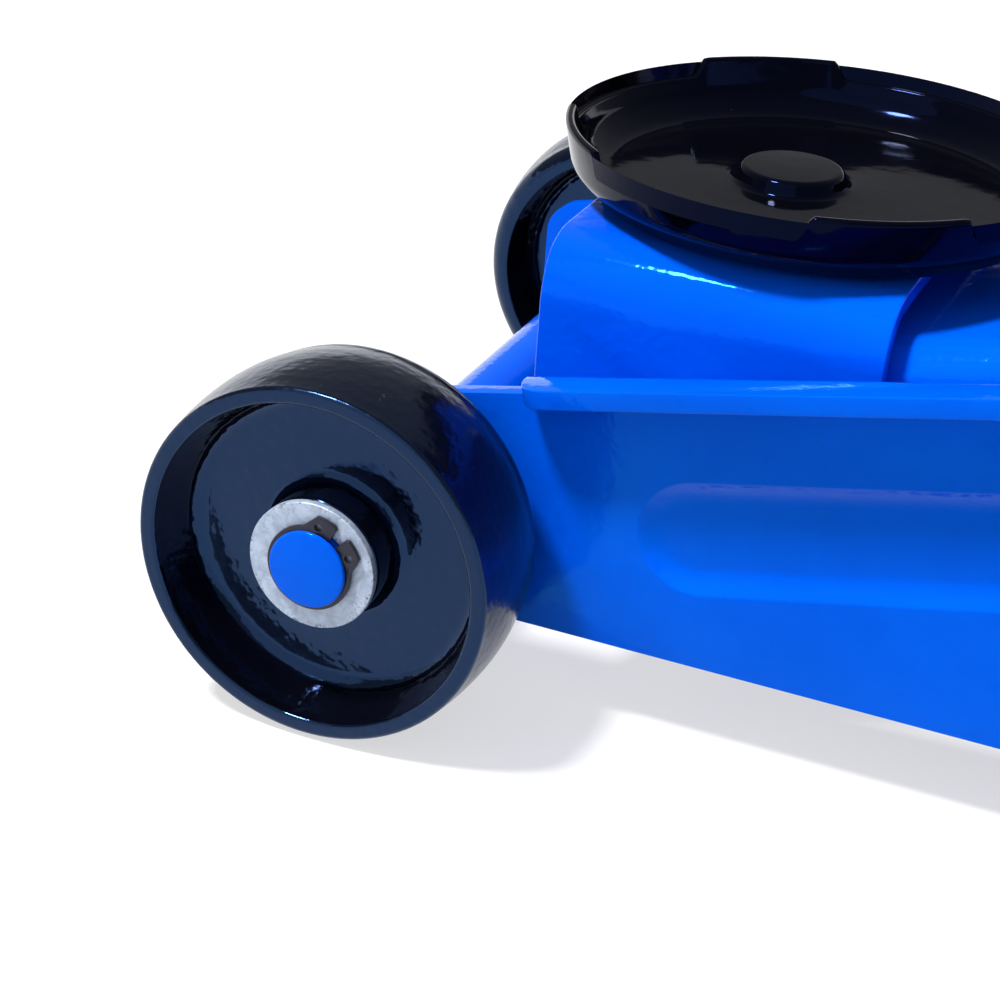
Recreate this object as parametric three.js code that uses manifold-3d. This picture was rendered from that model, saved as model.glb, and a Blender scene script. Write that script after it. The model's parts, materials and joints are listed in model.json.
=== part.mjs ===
// Hydraulic trolley jack: a pressed-steel frame on two front wheels and two rear casters, with a
// parallelogram lift linkage, a round swivelling saddle, a hand-pumped ram and a pumping handle.
// Millimetres. +X is forwards, +Y is the jack's left, +Z is up, and z = 0 is the floor.
import * as THREE from 'three';
import { mergeVertices } from 'three/addons/utils/BufferGeometryUtils.js';
import Module from 'manifold-3d';

const wasm = await Module();
wasm.setup();

// ---------------------------------------------------------------- driving dimensions

const runningGap = 0.3; // radial or axial clearance between pieces that touch or turn on each other
const mostFacets = 24; // round a large wheel or dish

const frontWheel = {
  radius: 38, // largest tread radius, at mid width
  width: 29,
  crown: 0.9, // fall of the tread from mid width to its outer corner
  backCrown: 1.6, // and to its inner corner
  cornerRadius: 1,
  backCornerRadius: 4,
  mouthRadius: 33.8, // inner edge of the face ring
  recessRadius: 31.2, // foot of the recess wall
  recessDepth: 12.4,
  webThickness: 4.2,
  hubRadius: 13.2,
  hubSetback: 3.5, // hub end below the outer face
  cornerFillet: 2.6,
};
const frontAxle = { radius: 8, endOverhang: 0.6, groove: 1, chamfer: 0.3 };
const frontWasher = { radius: 13.3, thickness: 1.7 };
const frontSpacer = { radius: 12.5 };
const frontClip = {
  thickness: 1,
  seat: 0.5, // how far the ring reaches into the axle's groove
  rise: 0.8, // the ring's outer edge over the axle
  lugRise: 3.5,
  gapAt: 127.5, // middle of the gap, in degrees from +X towards +Z
  gapHalf: 6.5, // these angles run from the middle of the gap
  lugHalf: 30,
  shoulder: 48,
  eyeAt: 26,
  eyeRadius: 0.8,
};

const liftRange = 60; // degrees of arm travel
const arm = {
  pinSetback: 59.948, // front axle to the saddle pin
  length: 234.6,
  rise: 65, // front axle up to the arm's pivot
  restSlope: 11.3, // degrees below the horizontal, towards the saddle
  half: 46.5,
  wall: 4,
  bend: 8,
  top: 21, // top face above the line of its two pivots
  noseRadius: 20.4,
  pivotBoss: 24,
  heelLever: 45,
  heelBoss: 12,
  braceRadius: 5,
};

// Heights of the frame and of all that it carries are measured from the front axle's height, and
// places along the rear half of the frame from the arm's pivot.
const axleZ = frontWheel.radius;
const pivotX = -arm.pinSetback - arm.length * Math.cos((arm.restSlope * Math.PI) / 180);

const plate = {
  wall: 4,
  outerHalf: 66, // centre plane to the plate's outer face
  frontX: 17.5,
  bottomZ: axleZ - 19.8,
  edgeAtAxle: axleZ + 23.9, // height of the bare top edge above the front axle
  edgeRise: 0.2163, // rise of the top edge per unit length rearwards
  crestX: pivotX - 45,
  crestFall: 0.05, // fall of the top edge behind the crest
  rearX: pivotX - 190,
  rearTopZ: axleZ + 62,
  earReach: 16, // edges of the ear round the handle's pivot
  heelX: pivotX - 76, // where the bottom edge leaves the horizontal
  archX: pivotX - 110, // where it meets the raised rear part
};
const flange = {
  overhang: 8.7, // plate's outer face to the lip's free edge
  height: 4, // the lip's thickness
  bendRadius: 6,
  edgeRadius: 1.9,
  cornerRadius: 6,
  frontX: 8 - frontWheel.radius, // so that the lip stays clear of the tread
  rearX: pivotX - 106,
  lead: 8, // how far the bent leg runs down into the plate
};
const recess = { frontX: -54, rearX: pivotX + 28, half: 12, drop: 18.2, depth: 2.2, slope: 6.5 };
const wheelGap = 5.3; // plate's outer face to the wheel's inner face

const armShaft = { radius: 11, nutRadius: 17, nutHeight: 7, bushRadius: 15.5 };
const heelPin = { radius: 5.5, half: 54.5, grooveRadius: 4.5, grooveWidth: 2.8 };
const heelRoller = { radius: 9, half: 24 };
const link = { offset: 30, thickness: 4.8, innerY: 52.6, eye: 7.5, boltRadius: 5, headRadius: 8.5 };
const bracket = {
  frontReach: 35.1, // pin to front edge
  rearReach: 34.6, // pin to rear edge
  half: 52,
  wall: 4,
  bend: 12,
  topZ: axleZ + 56.5,
  cheekDepth: 36, // how far the full-width cheek reaches below the top
  footRadius: 11,
};
const bracketPin = { radius: 7, headRadius: 9.6, headHeight: 3 };
const linkPin = { headRadius: 7, headHeight: 1.6 };
const saddle = {
  offset: -4.7, // swivel axis from the bracket pin
  radius: 53.3,
  footRadius: 46,
  bottomGap: 1.1,
  wall: 2,
  rimRise: 9.9, // low rim above the dish's underside
  toothHeight: 4,
  toothCount: 4,
  toothAngle: 36,
  toothTurn: 30.3, // middle of the first tooth from +X
  bossRadius: 12.5,
  bossHeight: 3.4,
  bossOffset: 6,
  seatRadius: 16,
  stemRadius: 10,
  stemDepth: 10,
  ringThickness: 1.2,
};

const ram = {
  axisZ: axleZ + 23,
  rodRadius: 10,
  headThickness: 10,
  headHalfWidth: 17,
  headHalfHeight: 14,
  contactGap: 0.6,
  glandRadius: 20,
  glandLength: 6,
  tankRadius: 26,
  tankLength: 64,
};
const block = {
  half: 24,
  bottomZ: axleZ + 23.3,
  footZ: axleZ - 1,
  footLength: 12,
  topZ: axleZ + 47,
  rearX: pivotX - 176,
};
const pump = {
  lever: 18,
  swing: 50, // degrees of handle travel
  rollerRadius: 5,
  barrelRadius: 12,
  barrelHeight: 12,
  plungerRadius: 6,
  capRadius: 8,
  capHeight: 3.6,
  springWire: 0.7,
  springRadius: 7.5,
  springTurns: 4,
};
const valve = { radius: 5, length: 24, barRadius: 2.5, barHalf: 11, height: 11 };
const springSize = {
  radius: 3.6,
  wire: 1.1,
  lineY: 50.6,
  anchorX: pivotX - 95,
  anchorZ: axleZ + 19,
  studRadius: 3.5,
};

const handle = {
  pivotX: pivotX - 135,
  pivotZ: axleZ + 83,
  restTilt: 18, // degrees above the horizontal, towards the rear
  radius: 15,
  wall: 2,
  sleeveStart: 32,
  sleeveEnd: 122,
  sleeveRadius: 19,
  earHalf: 21.5,
  earWall: 6,
  earRadius: 13,
  jointAt: 340,
  spigot: 50,
  endAt: 640,
  gripLength: 135,
  gripRadius: 19,
  gripRibs: 5,
  shaftRadius: 7,
  shaftHead: 10.5,
  spacerRadius: 10,
};

const caster = {
  x: pivotX - 160,
  inset: 16, // from the side plate's outer face to its swivel axis
  wheelRadius: 24,
  wheelWidth: 18,
  trail: 16,
  forkGap: 1, // wheel side to fork cheek
  forkWall: 2.5,
  forkTop: axleZ + 15,
  axleRadius: 4,
  raceRadius: 13,
  stemRadius: 5,
  headRadius: 9,
};
const casterPlate = {
  bottomZ: axleZ + 19,
  wall: 4,
  half: plate.outerHalf + 6,
  frontX: pivotX - 134,
  rearX: pivotX - 188,
  lip: 5,
};
const cover = {
  frontX: pivotX - 32,
  rearX: pivotX - 108,
  topZ: axleZ + 91,
  wall: 2.5,
  skirt: 14,
  screwRadius: 2.5,
};
const frameTie = { x: pivotX + 140, z: axleZ - 11, radius: 6 };

// ---------------------------------------------------------------- derived places

const plateInner = plate.outerHalf - plate.wall;
const wheelInnerFace = plate.outerHalf + wheelGap;
const wheelOuterFace = wheelInnerFace + frontWheel.width;
const washerBack = runningGap - frontWheel.hubSetback; // from the wheel's outer face, as are the next two
const washerFace = washerBack + frontWasher.thickness;
const clipBack = washerFace + runningGap / 2;
const armPivot = { x: pivotX, z: axleZ + arm.rise };
const saddlePin = along(armPivot, -arm.restSlope, arm.length);
const linkDirection = liftRange / 2 - arm.restSlope - 90; // square to the arm at mid lift
const linkRear = along(armPivot, linkDirection, link.offset);
const linkFront = along(saddlePin, linkDirection, link.offset);
const heelPoint = along(armPivot, -90 - liftRange / 2, arm.heelLever);
const saddleX = saddlePin.x + saddle.offset;
const handlePivot = { x: handle.pivotX, z: handle.pivotZ };
const pumpRoller = along(handlePivot, 180 + pump.swing / 2, pump.lever);
const pumpX = handle.pivotX - (pump.lever * (1 + Math.cos(radians(pump.swing / 2)))) / 2;
const ramFaceX = heelPoint.x - heelRoller.radius - ram.contactGap;
const glandBackX = ramFaceX - ram.headThickness - runningGap - ram.glandLength;
const tankFrontX = glandBackX - runningGap;
const tankRearX = tankFrontX - ram.tankLength;
const blockFrontX = tankRearX - runningGap;
const plungerTopZ = pumpRoller.z - pump.rollerRadius - runningGap;
const casterY = plate.outerHalf - caster.inset;
const casterTopZ = casterPlate.bottomZ + casterPlate.wall;

// ---------------------------------------------------------------- finishes

const bluePaint = finish(0x0a5cff, 0.22, 0.1);
const blackEnamel = finish(0x07080b, 0.16, 0.1);
const zinc = finish(0xb9bfc6, 0.45, 0.85);
const brightSteel = finish(0xc9ccd0, 0.22, 1);
const darkSteel = finish(0x24262a, 0.4, 0.8);
const blackRubber = finish(0x141416, 0.8, 0);
const grayCasting = finish(0x3a3d42, 0.5, 0.6);

function finish(color, roughness, metalness) {
  return new THREE.MeshStandardMaterial({ color, roughness, metalness });
}

// ---------------------------------------------------------------- geometry helpers

function radians(degrees) {
  return (degrees * Math.PI) / 180;
}

// The point at a distance from another, in the vertical XZ plane, at an angle from +X towards +Z.
function along(from, degrees, distance) {
  return {
    x: from.x + distance * Math.cos(radians(degrees)),
    z: from.z + distance * Math.sin(radians(degrees)),
  };
}

// A closed three.js geometry as a solid that can be joined and cut.
function toSolid(geometry) {
  geometry.deleteAttribute('normal');
  geometry.deleteAttribute('uv');
  const merged = mergeVertices(geometry, 1e-4);
  const corners = Array.from(merged.index.array);
  const kept = [];
  for (let i = 0; i < corners.length; i += 3) {
    const [a, b, c] = corners.slice(i, i + 3);
    if (a !== b && b !== c && c !== a) kept.push(a, b, c);
  }
  if (signedVolume(merged.attributes.position, kept) < 0) kept.reverse();
  const vertProperties = new Float32Array(merged.attributes.position.array);
  return new wasm.Manifold(new wasm.Mesh({ numProp: 3, vertProperties, triVerts: new Uint32Array(kept) }));
}

function signedVolume(position, corners) {
  const [a, b, c] = [new THREE.Vector3(), new THREE.Vector3(), new THREE.Vector3()];
  let volume = 0;
  for (let i = 0; i < corners.length; i += 3) {
    a.fromBufferAttribute(position, corners[i]);
    b.fromBufferAttribute(position, corners[i + 1]);
    c.fromBufferAttribute(position, corners[i + 2]);
    volume += a.dot(b.cross(c)) / 6;
  }
  return volume;
}

function toGeometry(solid) {
  const mesh = solid.getMesh();
  const geometry = new THREE.BufferGeometry();
  geometry.setAttribute('position', new THREE.BufferAttribute(new Float32Array(mesh.vertProperties), 3));
  geometry.setIndex(new THREE.BufferAttribute(new Uint32Array(mesh.triVerts), 1));
  geometry.computeVertexNormals();
  return geometry;
}

function joined(first, ...others) {
  return others.reduce((solid, other) => solid.add(other), first);
}

function cut(first, ...others) {
  return others.reduce((solid, other) => solid.subtract(other), first);
}

// Points of an arc about [x, y], from one angle to another in degrees.
function arc(x, y, radius, from, to, steps) {
  return Array.from({ length: steps + 1 }, (_, i) => {
    const angle = radians(from + ((to - from) * i) / steps);
    return new THREE.Vector2(x + radius * Math.cos(angle), y + radius * Math.sin(angle));
  });
}

// Facets for a round of this radius, a multiple of four, so many that the flats of a bore one
// running gap larger stay clear of a pin. Rounds too large to be pins stop at the most.
function facetCount(radius) {
  const half = Math.acos((radius + runningGap / 8) / (radius + runningGap));
  return Math.min(mostFacets, 4 * Math.ceil(Math.PI / half / 4));
}

function circle(x, y, radius, facets = facetCount(radius)) {
  return arc(x, y, radius, 0, 360, facets).slice(1);
}

// An outline through corners [x, y, radius], with each corner rounded to its radius.
function rounded(corners, degreesPerFacet = 18) {
  return corners.flatMap(([x, y, radius = 0], index) => {
    const here = new THREE.Vector2(x, y);
    if (!radius) return [here];
    const [bx, by] = corners.at(index - 1);
    const [ax, ay] = corners[(index + 1) % corners.length];
    const back = new THREE.Vector2(bx, by).sub(here).normalize();
    const ahead = new THREE.Vector2(ax, ay).sub(here).normalize();
    const half = Math.acos(THREE.MathUtils.clamp(back.dot(ahead), -1, 1)) / 2;
    const centre = back.clone().add(ahead).setLength(radius / Math.sin(half)).add(here);
    const start = back.clone().multiplyScalar(radius / Math.tan(half)).add(here).sub(centre);
    const turn = (180 - (half * 360) / Math.PI) * -Math.sign(back.cross(ahead));
    const from = THREE.MathUtils.radToDeg(start.angle());
    const steps = Math.max(1, Math.round(Math.abs(turn) / degreesPerFacet));
    return arc(centre.x, centre.y, radius, from, from + turn, steps);
  });
}

// The tight outline round circles [x, y, radius].
function belt(circles) {
  const points = circles.flatMap(([x, y, radius]) => circle(x, y, radius));
  points.sort((a, b) => a.x - b.x || a.y - b.y);
  const chain = (list) => {
    const kept = [];
    for (const point of list) {
      while (kept.length > 1 && turnOf(kept.at(-2), kept.at(-1), point) <= 1e-9) kept.pop();
      kept.push(point);
    }
    return kept.slice(0, -1);
  };
  return [...chain(points), ...chain([...points].reverse())];
}

function turnOf(a, b, c) {
  return (b.x - a.x) * (c.y - a.y) - (b.y - a.y) * (c.x - a.x);
}

function extruded(points, depth, options = {}) {
  return new THREE.ExtrudeGeometry(new THREE.Shape(points), { depth, bevelEnabled: false, ...options });
}

// An outline in the XZ plane, extruded in Y from one place to another.
function slabY(points, from, to) {
  return toSolid(extruded(points, to - from).rotateX(Math.PI / 2).translate(0, to, 0));
}

// An outline in the YZ plane, extruded in X.
function slabX(points, from, to) {
  const turn = new THREE.Matrix4().makeBasis(axis(0, 1, 0), axis(0, 0, 1), axis(1, 0, 0));
  return toSolid(extruded(points, to - from).applyMatrix4(turn).translate(from, 0, 0));
}

// An outline in the XY plane, extruded in Z.
function slabZ(points, from, to) {
  return toSolid(extruded(points, to - from).translate(0, 0, from));
}

function axis(x, y, z) {
  return new THREE.Vector3(x, y, z);
}

// A profile of [radius, distance] points turned about Y. Turned about X and Z below.
function turnedY(profile) {
  const points = profile.map(([radius, distance]) => new THREE.Vector2(radius, distance));
  const onAxis = points[0].x === 0 && points.at(-1).x === 0;
  if (!onAxis) points.push(points[0].clone());
  const largest = Math.max(...points.map((p) => p.x));
  return toSolid(new THREE.LatheGeometry(points, facetCount(largest)));
}

function turnedX(profile) {
  return moved(turnedY(profile), new THREE.Matrix4().makeRotationZ(-Math.PI / 2));
}

function turnedZ(profile) {
  return moved(turnedY(profile), new THREE.Matrix4().makeRotationX(Math.PI / 2));
}

function moved(solid, matrix) {
  return toSolid(toGeometry(solid).applyMatrix4(matrix));
}

function shifted(solid, x, y, z) {
  return moved(solid, new THREE.Matrix4().makeTranslation(x, y, z));
}

function pinProfile(radius, from, to, chamfer) {
  return [
    [0, from],
    [radius - chamfer, from],
    [radius, from + chamfer],
    [radius, to - chamfer],
    [radius - chamfer, to],
    [0, to],
  ];
}

function ringProfile(inner, outer, from, to, chamfer = 0) {
  if (!chamfer) return [[inner, from], [outer, from], [outer, to], [inner, to]];
  return [
    [inner, from], [outer - chamfer, from], [outer, from + chamfer],
    [outer, to - chamfer], [outer - chamfer, to], [inner, to],
  ];
}

// A pin with a low head at both ends, formed over the outermost piece it holds.
function rivetProfile(radius, headRadius, half, headHeight) {
  const end = [
    [radius, half], [headRadius, half], [headRadius, half + headHeight * 0.5],
    [headRadius - headHeight * 0.5, half + headHeight], [0, half + headHeight],
  ];
  return [...end.map(([r, y]) => [r, -y]).reverse(), ...end];
}

function boreY(point, radius, from, to) {
  return slabY(circle(point.x, point.z, radius), from, to);
}

function hexagon(x, y, radius) {
  return circle(x, y, radius, 6);
}

// ---------------------------------------------------------------- scene graph

const jack = new THREE.Group();

function place(parent, x = 0, y = 0, z = 0) {
  const group = new THREE.Group();
  group.position.set(x, y, z);
  parent.add(group);
  return group;
}

// A group at a point of the centre plane whose local +X points at an angle from +X towards +Z.
function pointed(parent, point, degrees) {
  const group = place(parent, point.x, 0, point.z);
  group.rotation.y = -radians(degrees);
  return group;
}

function piece(parent, name, solid, material) {
  const mesh = new THREE.Mesh(toGeometry(solid), material);
  mesh.name = name;
  parent.add(mesh);
  return mesh;
}

const sides = [
  { side: 'left', sign: 1 },
  { side: 'right', sign: -1 },
];

// The same solid on the jack's right side.
function onSide(solid, sign) {
  return sign > 0 ? solid : moved(solid, new THREE.Matrix4().makeScale(1, -1, 1));
}

// ---------------------------------------------------------------- frame

// Height of the plate's bare top edge, before its corners are rounded.
function plateEdgeZ(x) {
  const rising = plate.edgeAtAxle - plate.edgeRise * x;
  const crest = plate.edgeAtAxle - plate.edgeRise * plate.crestX;
  return x > plate.crestX ? rising : crest + plate.crestFall * (x - plate.crestX);
}

// The flange's run from its front end to its rear end, as points of the edge it is bent from.
function flangeRun() {
  return rounded([
    [flange.frontX, plateEdgeZ(flange.frontX)],
    [plate.crestX, plateEdgeZ(plate.crestX), 90],
    [flange.rearX, plateEdgeZ(flange.rearX)],
  ], 6);
}

function plateOutline() {
  const bendDrop = flange.bendRadius - flange.height;
  const underFlange = flangeRun().map((p) => [p.x, p.y - bendDrop]);
  return rounded([
    [plate.frontX, plate.bottomZ, 15],
    [plate.frontX, plateEdgeZ(plate.frontX), 8],
    [flange.frontX, plateEdgeZ(flange.frontX)],
    ...underFlange,
    [handle.pivotX + plate.earReach, handle.pivotZ + plate.earReach, 10],
    [handle.pivotX - plate.earReach, handle.pivotZ + plate.earReach, 15],
    [plate.rearX, plate.rearTopZ, 12],
    [plate.rearX, casterTopZ + runningGap, 4],
    [plate.archX, casterTopZ + runningGap, 18],
    [plate.heelX, plate.bottomZ, 18],
  ], 15);
}

// The turned-out lip in section: a leg that runs down into the plate, an outside bend and a
// rounded free edge. The first coordinate is Y, the second is the height from the lip's top.
function flangeSection() {
  const { bendRadius, overhang, height, lead, edgeRadius } = flange;
  const bendY = plateInner + bendRadius;
  const edgeY = plate.outerHalf + overhang - edgeRadius;
  return [
    new THREE.Vector2(plateInner, -bendRadius - lead),
    ...arc(bendY, -bendRadius, bendRadius, 180, 90, 4),
    ...arc(edgeY, -edgeRadius, edgeRadius, 90, 0, 2),
    ...arc(edgeY, edgeRadius - height, edgeRadius, 0, -90, 2),
    ...arc(bendY, -bendRadius, bendRadius - height, 90, 180, 2),
    new THREE.Vector2(plate.outerHalf, -bendRadius - lead),
  ];
}

// A section in the YZ plane carried along a run of points in the XZ plane and kept upright.
function lofted(section, run) {
  const geometry = extruded(section, 1, { steps: run.length - 1 });
  const { position } = geometry.attributes;
  for (let i = 0; i < position.count; i += 1) {
    const station = run[Math.round(position.getZ(i) * (run.length - 1))];
    position.setXYZ(i, station.x, position.getX(i), station.y + position.getY(i));
  }
  return toSolid(geometry);
}

function flangeSolid() {
  const edgeY = plate.outerHalf + flange.overhang;
  const plan = rounded([
    [flange.frontX, plateInner - 1],
    [flange.frontX, edgeY, flange.cornerRadius],
    [flange.rearX, edgeY, flange.cornerRadius],
    [flange.rearX, plateInner - 1],
  ]);
  const topRun = flangeRun().map((p) => new THREE.Vector2(p.x, p.y + flange.height));
  return lofted(flangeSection(), topRun).intersect(slabZ(plan, 0, plate.edgeAtAxle * 4));
}

function recessLine() {
  const centreZ = (x) => plateEdgeZ(x) - recess.drop - recess.half;
  return [
    [recess.frontX - recess.half, centreZ(recess.frontX - recess.half), recess.half],
    [recess.rearX + recess.half, centreZ(recess.rearX + recess.half), recess.half],
  ];
}

// The long stamped recess: a tapered plug that is cut from the outside and added on the inside.
function recessPlug(grow, faceY) {
  const { depth, slope } = recess;
  const points = belt(recessLine().map(([x, z, r]) => [x, z, r - slope + grow]));
  const bevel = { bevelEnabled: true, bevelThickness: depth, bevelSize: slope, bevelSegments: 2 };
  const plug = extruded(points, 1, bevel).rotateX(Math.PI / 2);
  return toSolid(plug.translate(0, faceY + depth + 1, 0));
}

function springStud() {
  const { lineY, studRadius, anchorX, anchorZ } = springSize;
  const headFrom = lineY - 3.6;
  const profile = [
    [0, headFrom], [studRadius + 1.5, headFrom], [studRadius + 1.5, headFrom + 1.5],
    [studRadius, headFrom + 1.5], [studRadius, plateInner + 1], [0, plateInner + 1],
  ];
  return shifted(turnedY(profile), anchorX, 0, anchorZ);
}

function sidePlate() {
  const { wall, outerHalf } = plate;
  const sheet = joined(
    slabY(plateOutline(), plateInner, outerHalf),
    flangeSolid(),
    halfSpaceCut(recessPlug(0.6, plateInner - recess.depth), plateInner + wall / 2),
    springStud(),
  );
  const through = [plateInner - 1, outerHalf + 1];
  return cut(
    sheet,
    recessPlug(0, outerHalf - recess.depth),
    boreY({ x: 0, z: axleZ }, frontAxle.radius + runningGap, ...through),
    boreY(armPivot, armShaft.radius + runningGap, ...through),
    boreY(linkRear, link.boltRadius + runningGap, ...through),
    boreY(handlePivot, handle.shaftRadius + runningGap, ...through),
    boreY(coverScrewPoint(), cover.screwRadius + runningGap, ...through),
  );
}

// Keeps the part of a solid that lies on the centre plane's side of a given Y.
function halfSpaceCut(solid, y) {
  return solid.subtract(slabY(circle(plate.rearX / 2, 0, -plate.rearX * 2, 4), y, y + plate.outerHalf));
}

function coverScrewPoint() {
  return { x: (cover.frontX + cover.rearX) / 2, z: cover.topZ - cover.skirt / 2 };
}

function casterPlateSolid() {
  const { half, frontX, rearX, bottomZ, wall, lip } = casterPlate;
  const plan = rounded([[rearX, -half, 8], [frontX, -half, 8], [frontX, half, 8], [rearX, half, 8]]);
  const lipSection = rounded([
    [rearX, bottomZ],
    [rearX, casterTopZ + lip, 1.5],
    [rearX + wall, casterTopZ + lip, 1.5],
    [rearX + wall, bottomZ],
  ]);
  const lipHalf = plateInner - 4;
  const sheet = joined(slabZ(plan, bottomZ, casterTopZ), slabY(lipSection, -lipHalf, lipHalf));
  return cut(sheet, ...sides.map(({ sign }) => stemBore(sign)));
}

function stemBore(sign) {
  const { x, stemRadius } = caster;
  return slabZ(circle(x, sign * casterY, stemRadius + runningGap), casterPlate.bottomZ - 1, casterTopZ + 1);
}

function coverSolid() {
  const { frontX, rearX, topZ, wall, skirt, screwRadius } = cover;
  const half = plateInner - runningGap;
  const section = channel(half, topZ, topZ - skirt, wall, 5);
  const sheet = slabX(section, rearX, frontX);
  return cut(sheet, boreY(coverScrewPoint(), screwRadius + runningGap, -half - 1, half + 1));
}

// The section of a sheet folded down at both edges, in the YZ plane.
function channel(half, top, bottom, wall, bend) {
  return rounded([
    [-half, bottom], [-half, top, bend], [half, top, bend], [half, bottom],
    [half - wall, bottom], [half - wall, top - wall, bend - wall],
    [wall - half, top - wall, bend - wall], [wall - half, bottom],
  ]);
}

function buildFrame() {
  for (const { side, sign } of sides) {
    piece(jack, `side_plate_${side}`, onSide(sidePlate(), sign), bluePaint);
  }
  const tie = turnedY(pinProfile(frameTie.radius, runningGap - plateInner, plateInner - runningGap, 1));
  piece(place(jack, frameTie.x, 0, frameTie.z), 'frame_tie_bar', tie, bluePaint);
  piece(jack, 'rear_caster_plate', casterPlateSolid(), bluePaint);
  piece(jack, 'top_cover', coverSolid(), bluePaint);
  buildCoverScrews();
}

function buildCoverScrews() {
  const { screwRadius, wall } = cover;
  const headAt = plate.outerHalf + runningGap;
  const profile = [
    [0, plateInner - runningGap - wall - 2], [screwRadius, plateInner - runningGap - wall - 2],
    [screwRadius, headAt], [screwRadius * 2, headAt], [screwRadius * 1.7, headAt + 2], [0, headAt + 2.4],
  ];
  const { x, z } = coverScrewPoint();
  for (const { side, sign } of sides) {
    piece(place(jack, x, 0, z), `cover_screw_${side}`, onSide(turnedY(profile), sign), zinc);
  }
}

// ---------------------------------------------------------------- front axle and wheels

function frontAxleSolid() {
  const { radius, endOverhang, groove, chamfer } = frontAxle;
  const end = wheelOuterFace + endOverhang;
  const grooveIn = wheelOuterFace + clipBack - runningGap / 2;
  const grooveOut = grooveIn + frontClip.thickness + runningGap;
  const half = [
    [radius, grooveIn], [radius - groove, grooveIn], [radius - groove, grooveOut],
    [radius, grooveOut], [radius, end - chamfer], [radius - chamfer, end], [0, end],
  ];
  const mirrored = half.map(([r, y]) => [r, -y]).reverse();
  return turnedY([...mirrored, ...half]);
}

// The wheel's section, with distance 0 at its outer face and the width running inwards.
function frontWheelProfile() {
  const w = frontWheel;
  const bore = frontAxle.radius + runningGap;
  const backWeb = w.recessDepth + w.webThickness;
  const backEdge = w.radius - w.backCrown;
  const outerSide = [
    [bore, w.hubSetback], [w.hubRadius, w.hubSetback], [w.hubRadius, w.recessDepth],
    [w.recessRadius - w.cornerFillet, w.recessDepth], [w.recessRadius, w.recessDepth - w.cornerFillet],
    [w.mouthRadius, 0], [w.radius - w.crown - w.cornerRadius, 0],
  ];
  const innerSide = [
    [backEdge - w.backCornerRadius, w.width], [w.recessRadius, w.width], [w.recessRadius - 2, backWeb],
    [w.hubRadius, backWeb], [w.hubRadius, w.width], [bore, w.width],
  ];
  const corner = w.backCornerRadius;
  const shoulder = arc(backEdge - corner, w.width - corner, corner, 30, 60, 1).map((p) => [p.x, p.y]);
  const profile = [...outerSide, ...frontTread(), ...shoulder, ...innerSide];
  return profile.map(([radius, distance]) => [radius, -distance]);
}

// The crowned tread from its outer corner to its inner one, as [radius, distance] points.
function frontTread() {
  const w = frontWheel;
  const from = w.cornerRadius;
  const to = w.width - w.backCornerRadius;
  return [-1, 0, 1].map((share) => {
    const fall = share < 0 ? w.crown : w.backCrown;
    return [w.radius - fall * share ** 2, (from + to + share * (to - from)) / 2];
  });
}

// A retaining ring with a gap and two eared ends, in the XZ plane about the origin.
function clipSolid(bore, from, to) {
  const c = frontClip;
  const inner = bore - c.seat;
  const outer = bore + c.rise;
  const reach = bore + c.lugRise;
  const polar = (radius, angle) => arc(0, 0, radius, c.gapAt + angle, c.gapAt + angle, 1)[0];
  const outline = [
    polar(inner, c.gapHalf),
    polar(reach - 0.5, c.gapHalf),
    ...arc(0, 0, reach, c.gapAt + c.gapHalf + 3, c.gapAt + c.lugHalf, 2),
    ...arc(0, 0, outer, c.gapAt + c.shoulder, c.gapAt - c.shoulder + 360, 11),
    ...arc(0, 0, reach, c.gapAt - c.lugHalf, c.gapAt - c.gapHalf - 3, 2),
    polar(reach - 0.5, -c.gapHalf),
    ...arc(0, 0, inner, c.gapAt - c.gapHalf + 360, c.gapAt + c.gapHalf, 14).slice(0, -1),
  ];
  const eyes = [c.eyeAt, -c.eyeAt].map((angle) => {
    const eye = polar((inner + reach) / 2, angle);
    return slabY(circle(eye.x, eye.y, c.eyeRadius), from - 1, to + 1);
  });
  return cut(slabY(outline, from, to), ...eyes);
}

function buildFrontWheels() {
  const axleGroup = place(jack, 0, 0, axleZ);
  piece(axleGroup, 'front_axle', frontAxleSolid(), bluePaint);
  const wheel = turnedY(frontWheelProfile());
  const inner = frontAxle.radius + runningGap;
  for (const { side, sign } of sides) {
    const group = place(axleGroup);
    group.rotation.z = sign > 0 ? 0 : Math.PI;
    const face = wheelOuterFace;
    const outwards = place(group, 0, face, 0);
    piece(outwards, `front_wheel_${side}`, wheel, blackEnamel);
    const washer = turnedY(ringProfile(inner, frontWasher.radius, washerBack, washerFace, 0.3));
    piece(outwards, `front_washer_${side}`, washer, zinc);
    const clip = clipSolid(frontAxle.radius, clipBack, clipBack + frontClip.thickness);
    piece(outwards, `front_clip_${side}`, clip, darkSteel);
    const spacerRange = [plate.outerHalf + runningGap, wheelInnerFace - runningGap];
    const spacer = turnedY(ringProfile(inner, frontSpacer.radius, ...spacerRange));
    piece(group, `front_spacer_${side}`, spacer, zinc);
  }
}

// ---------------------------------------------------------------- rear casters

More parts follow.
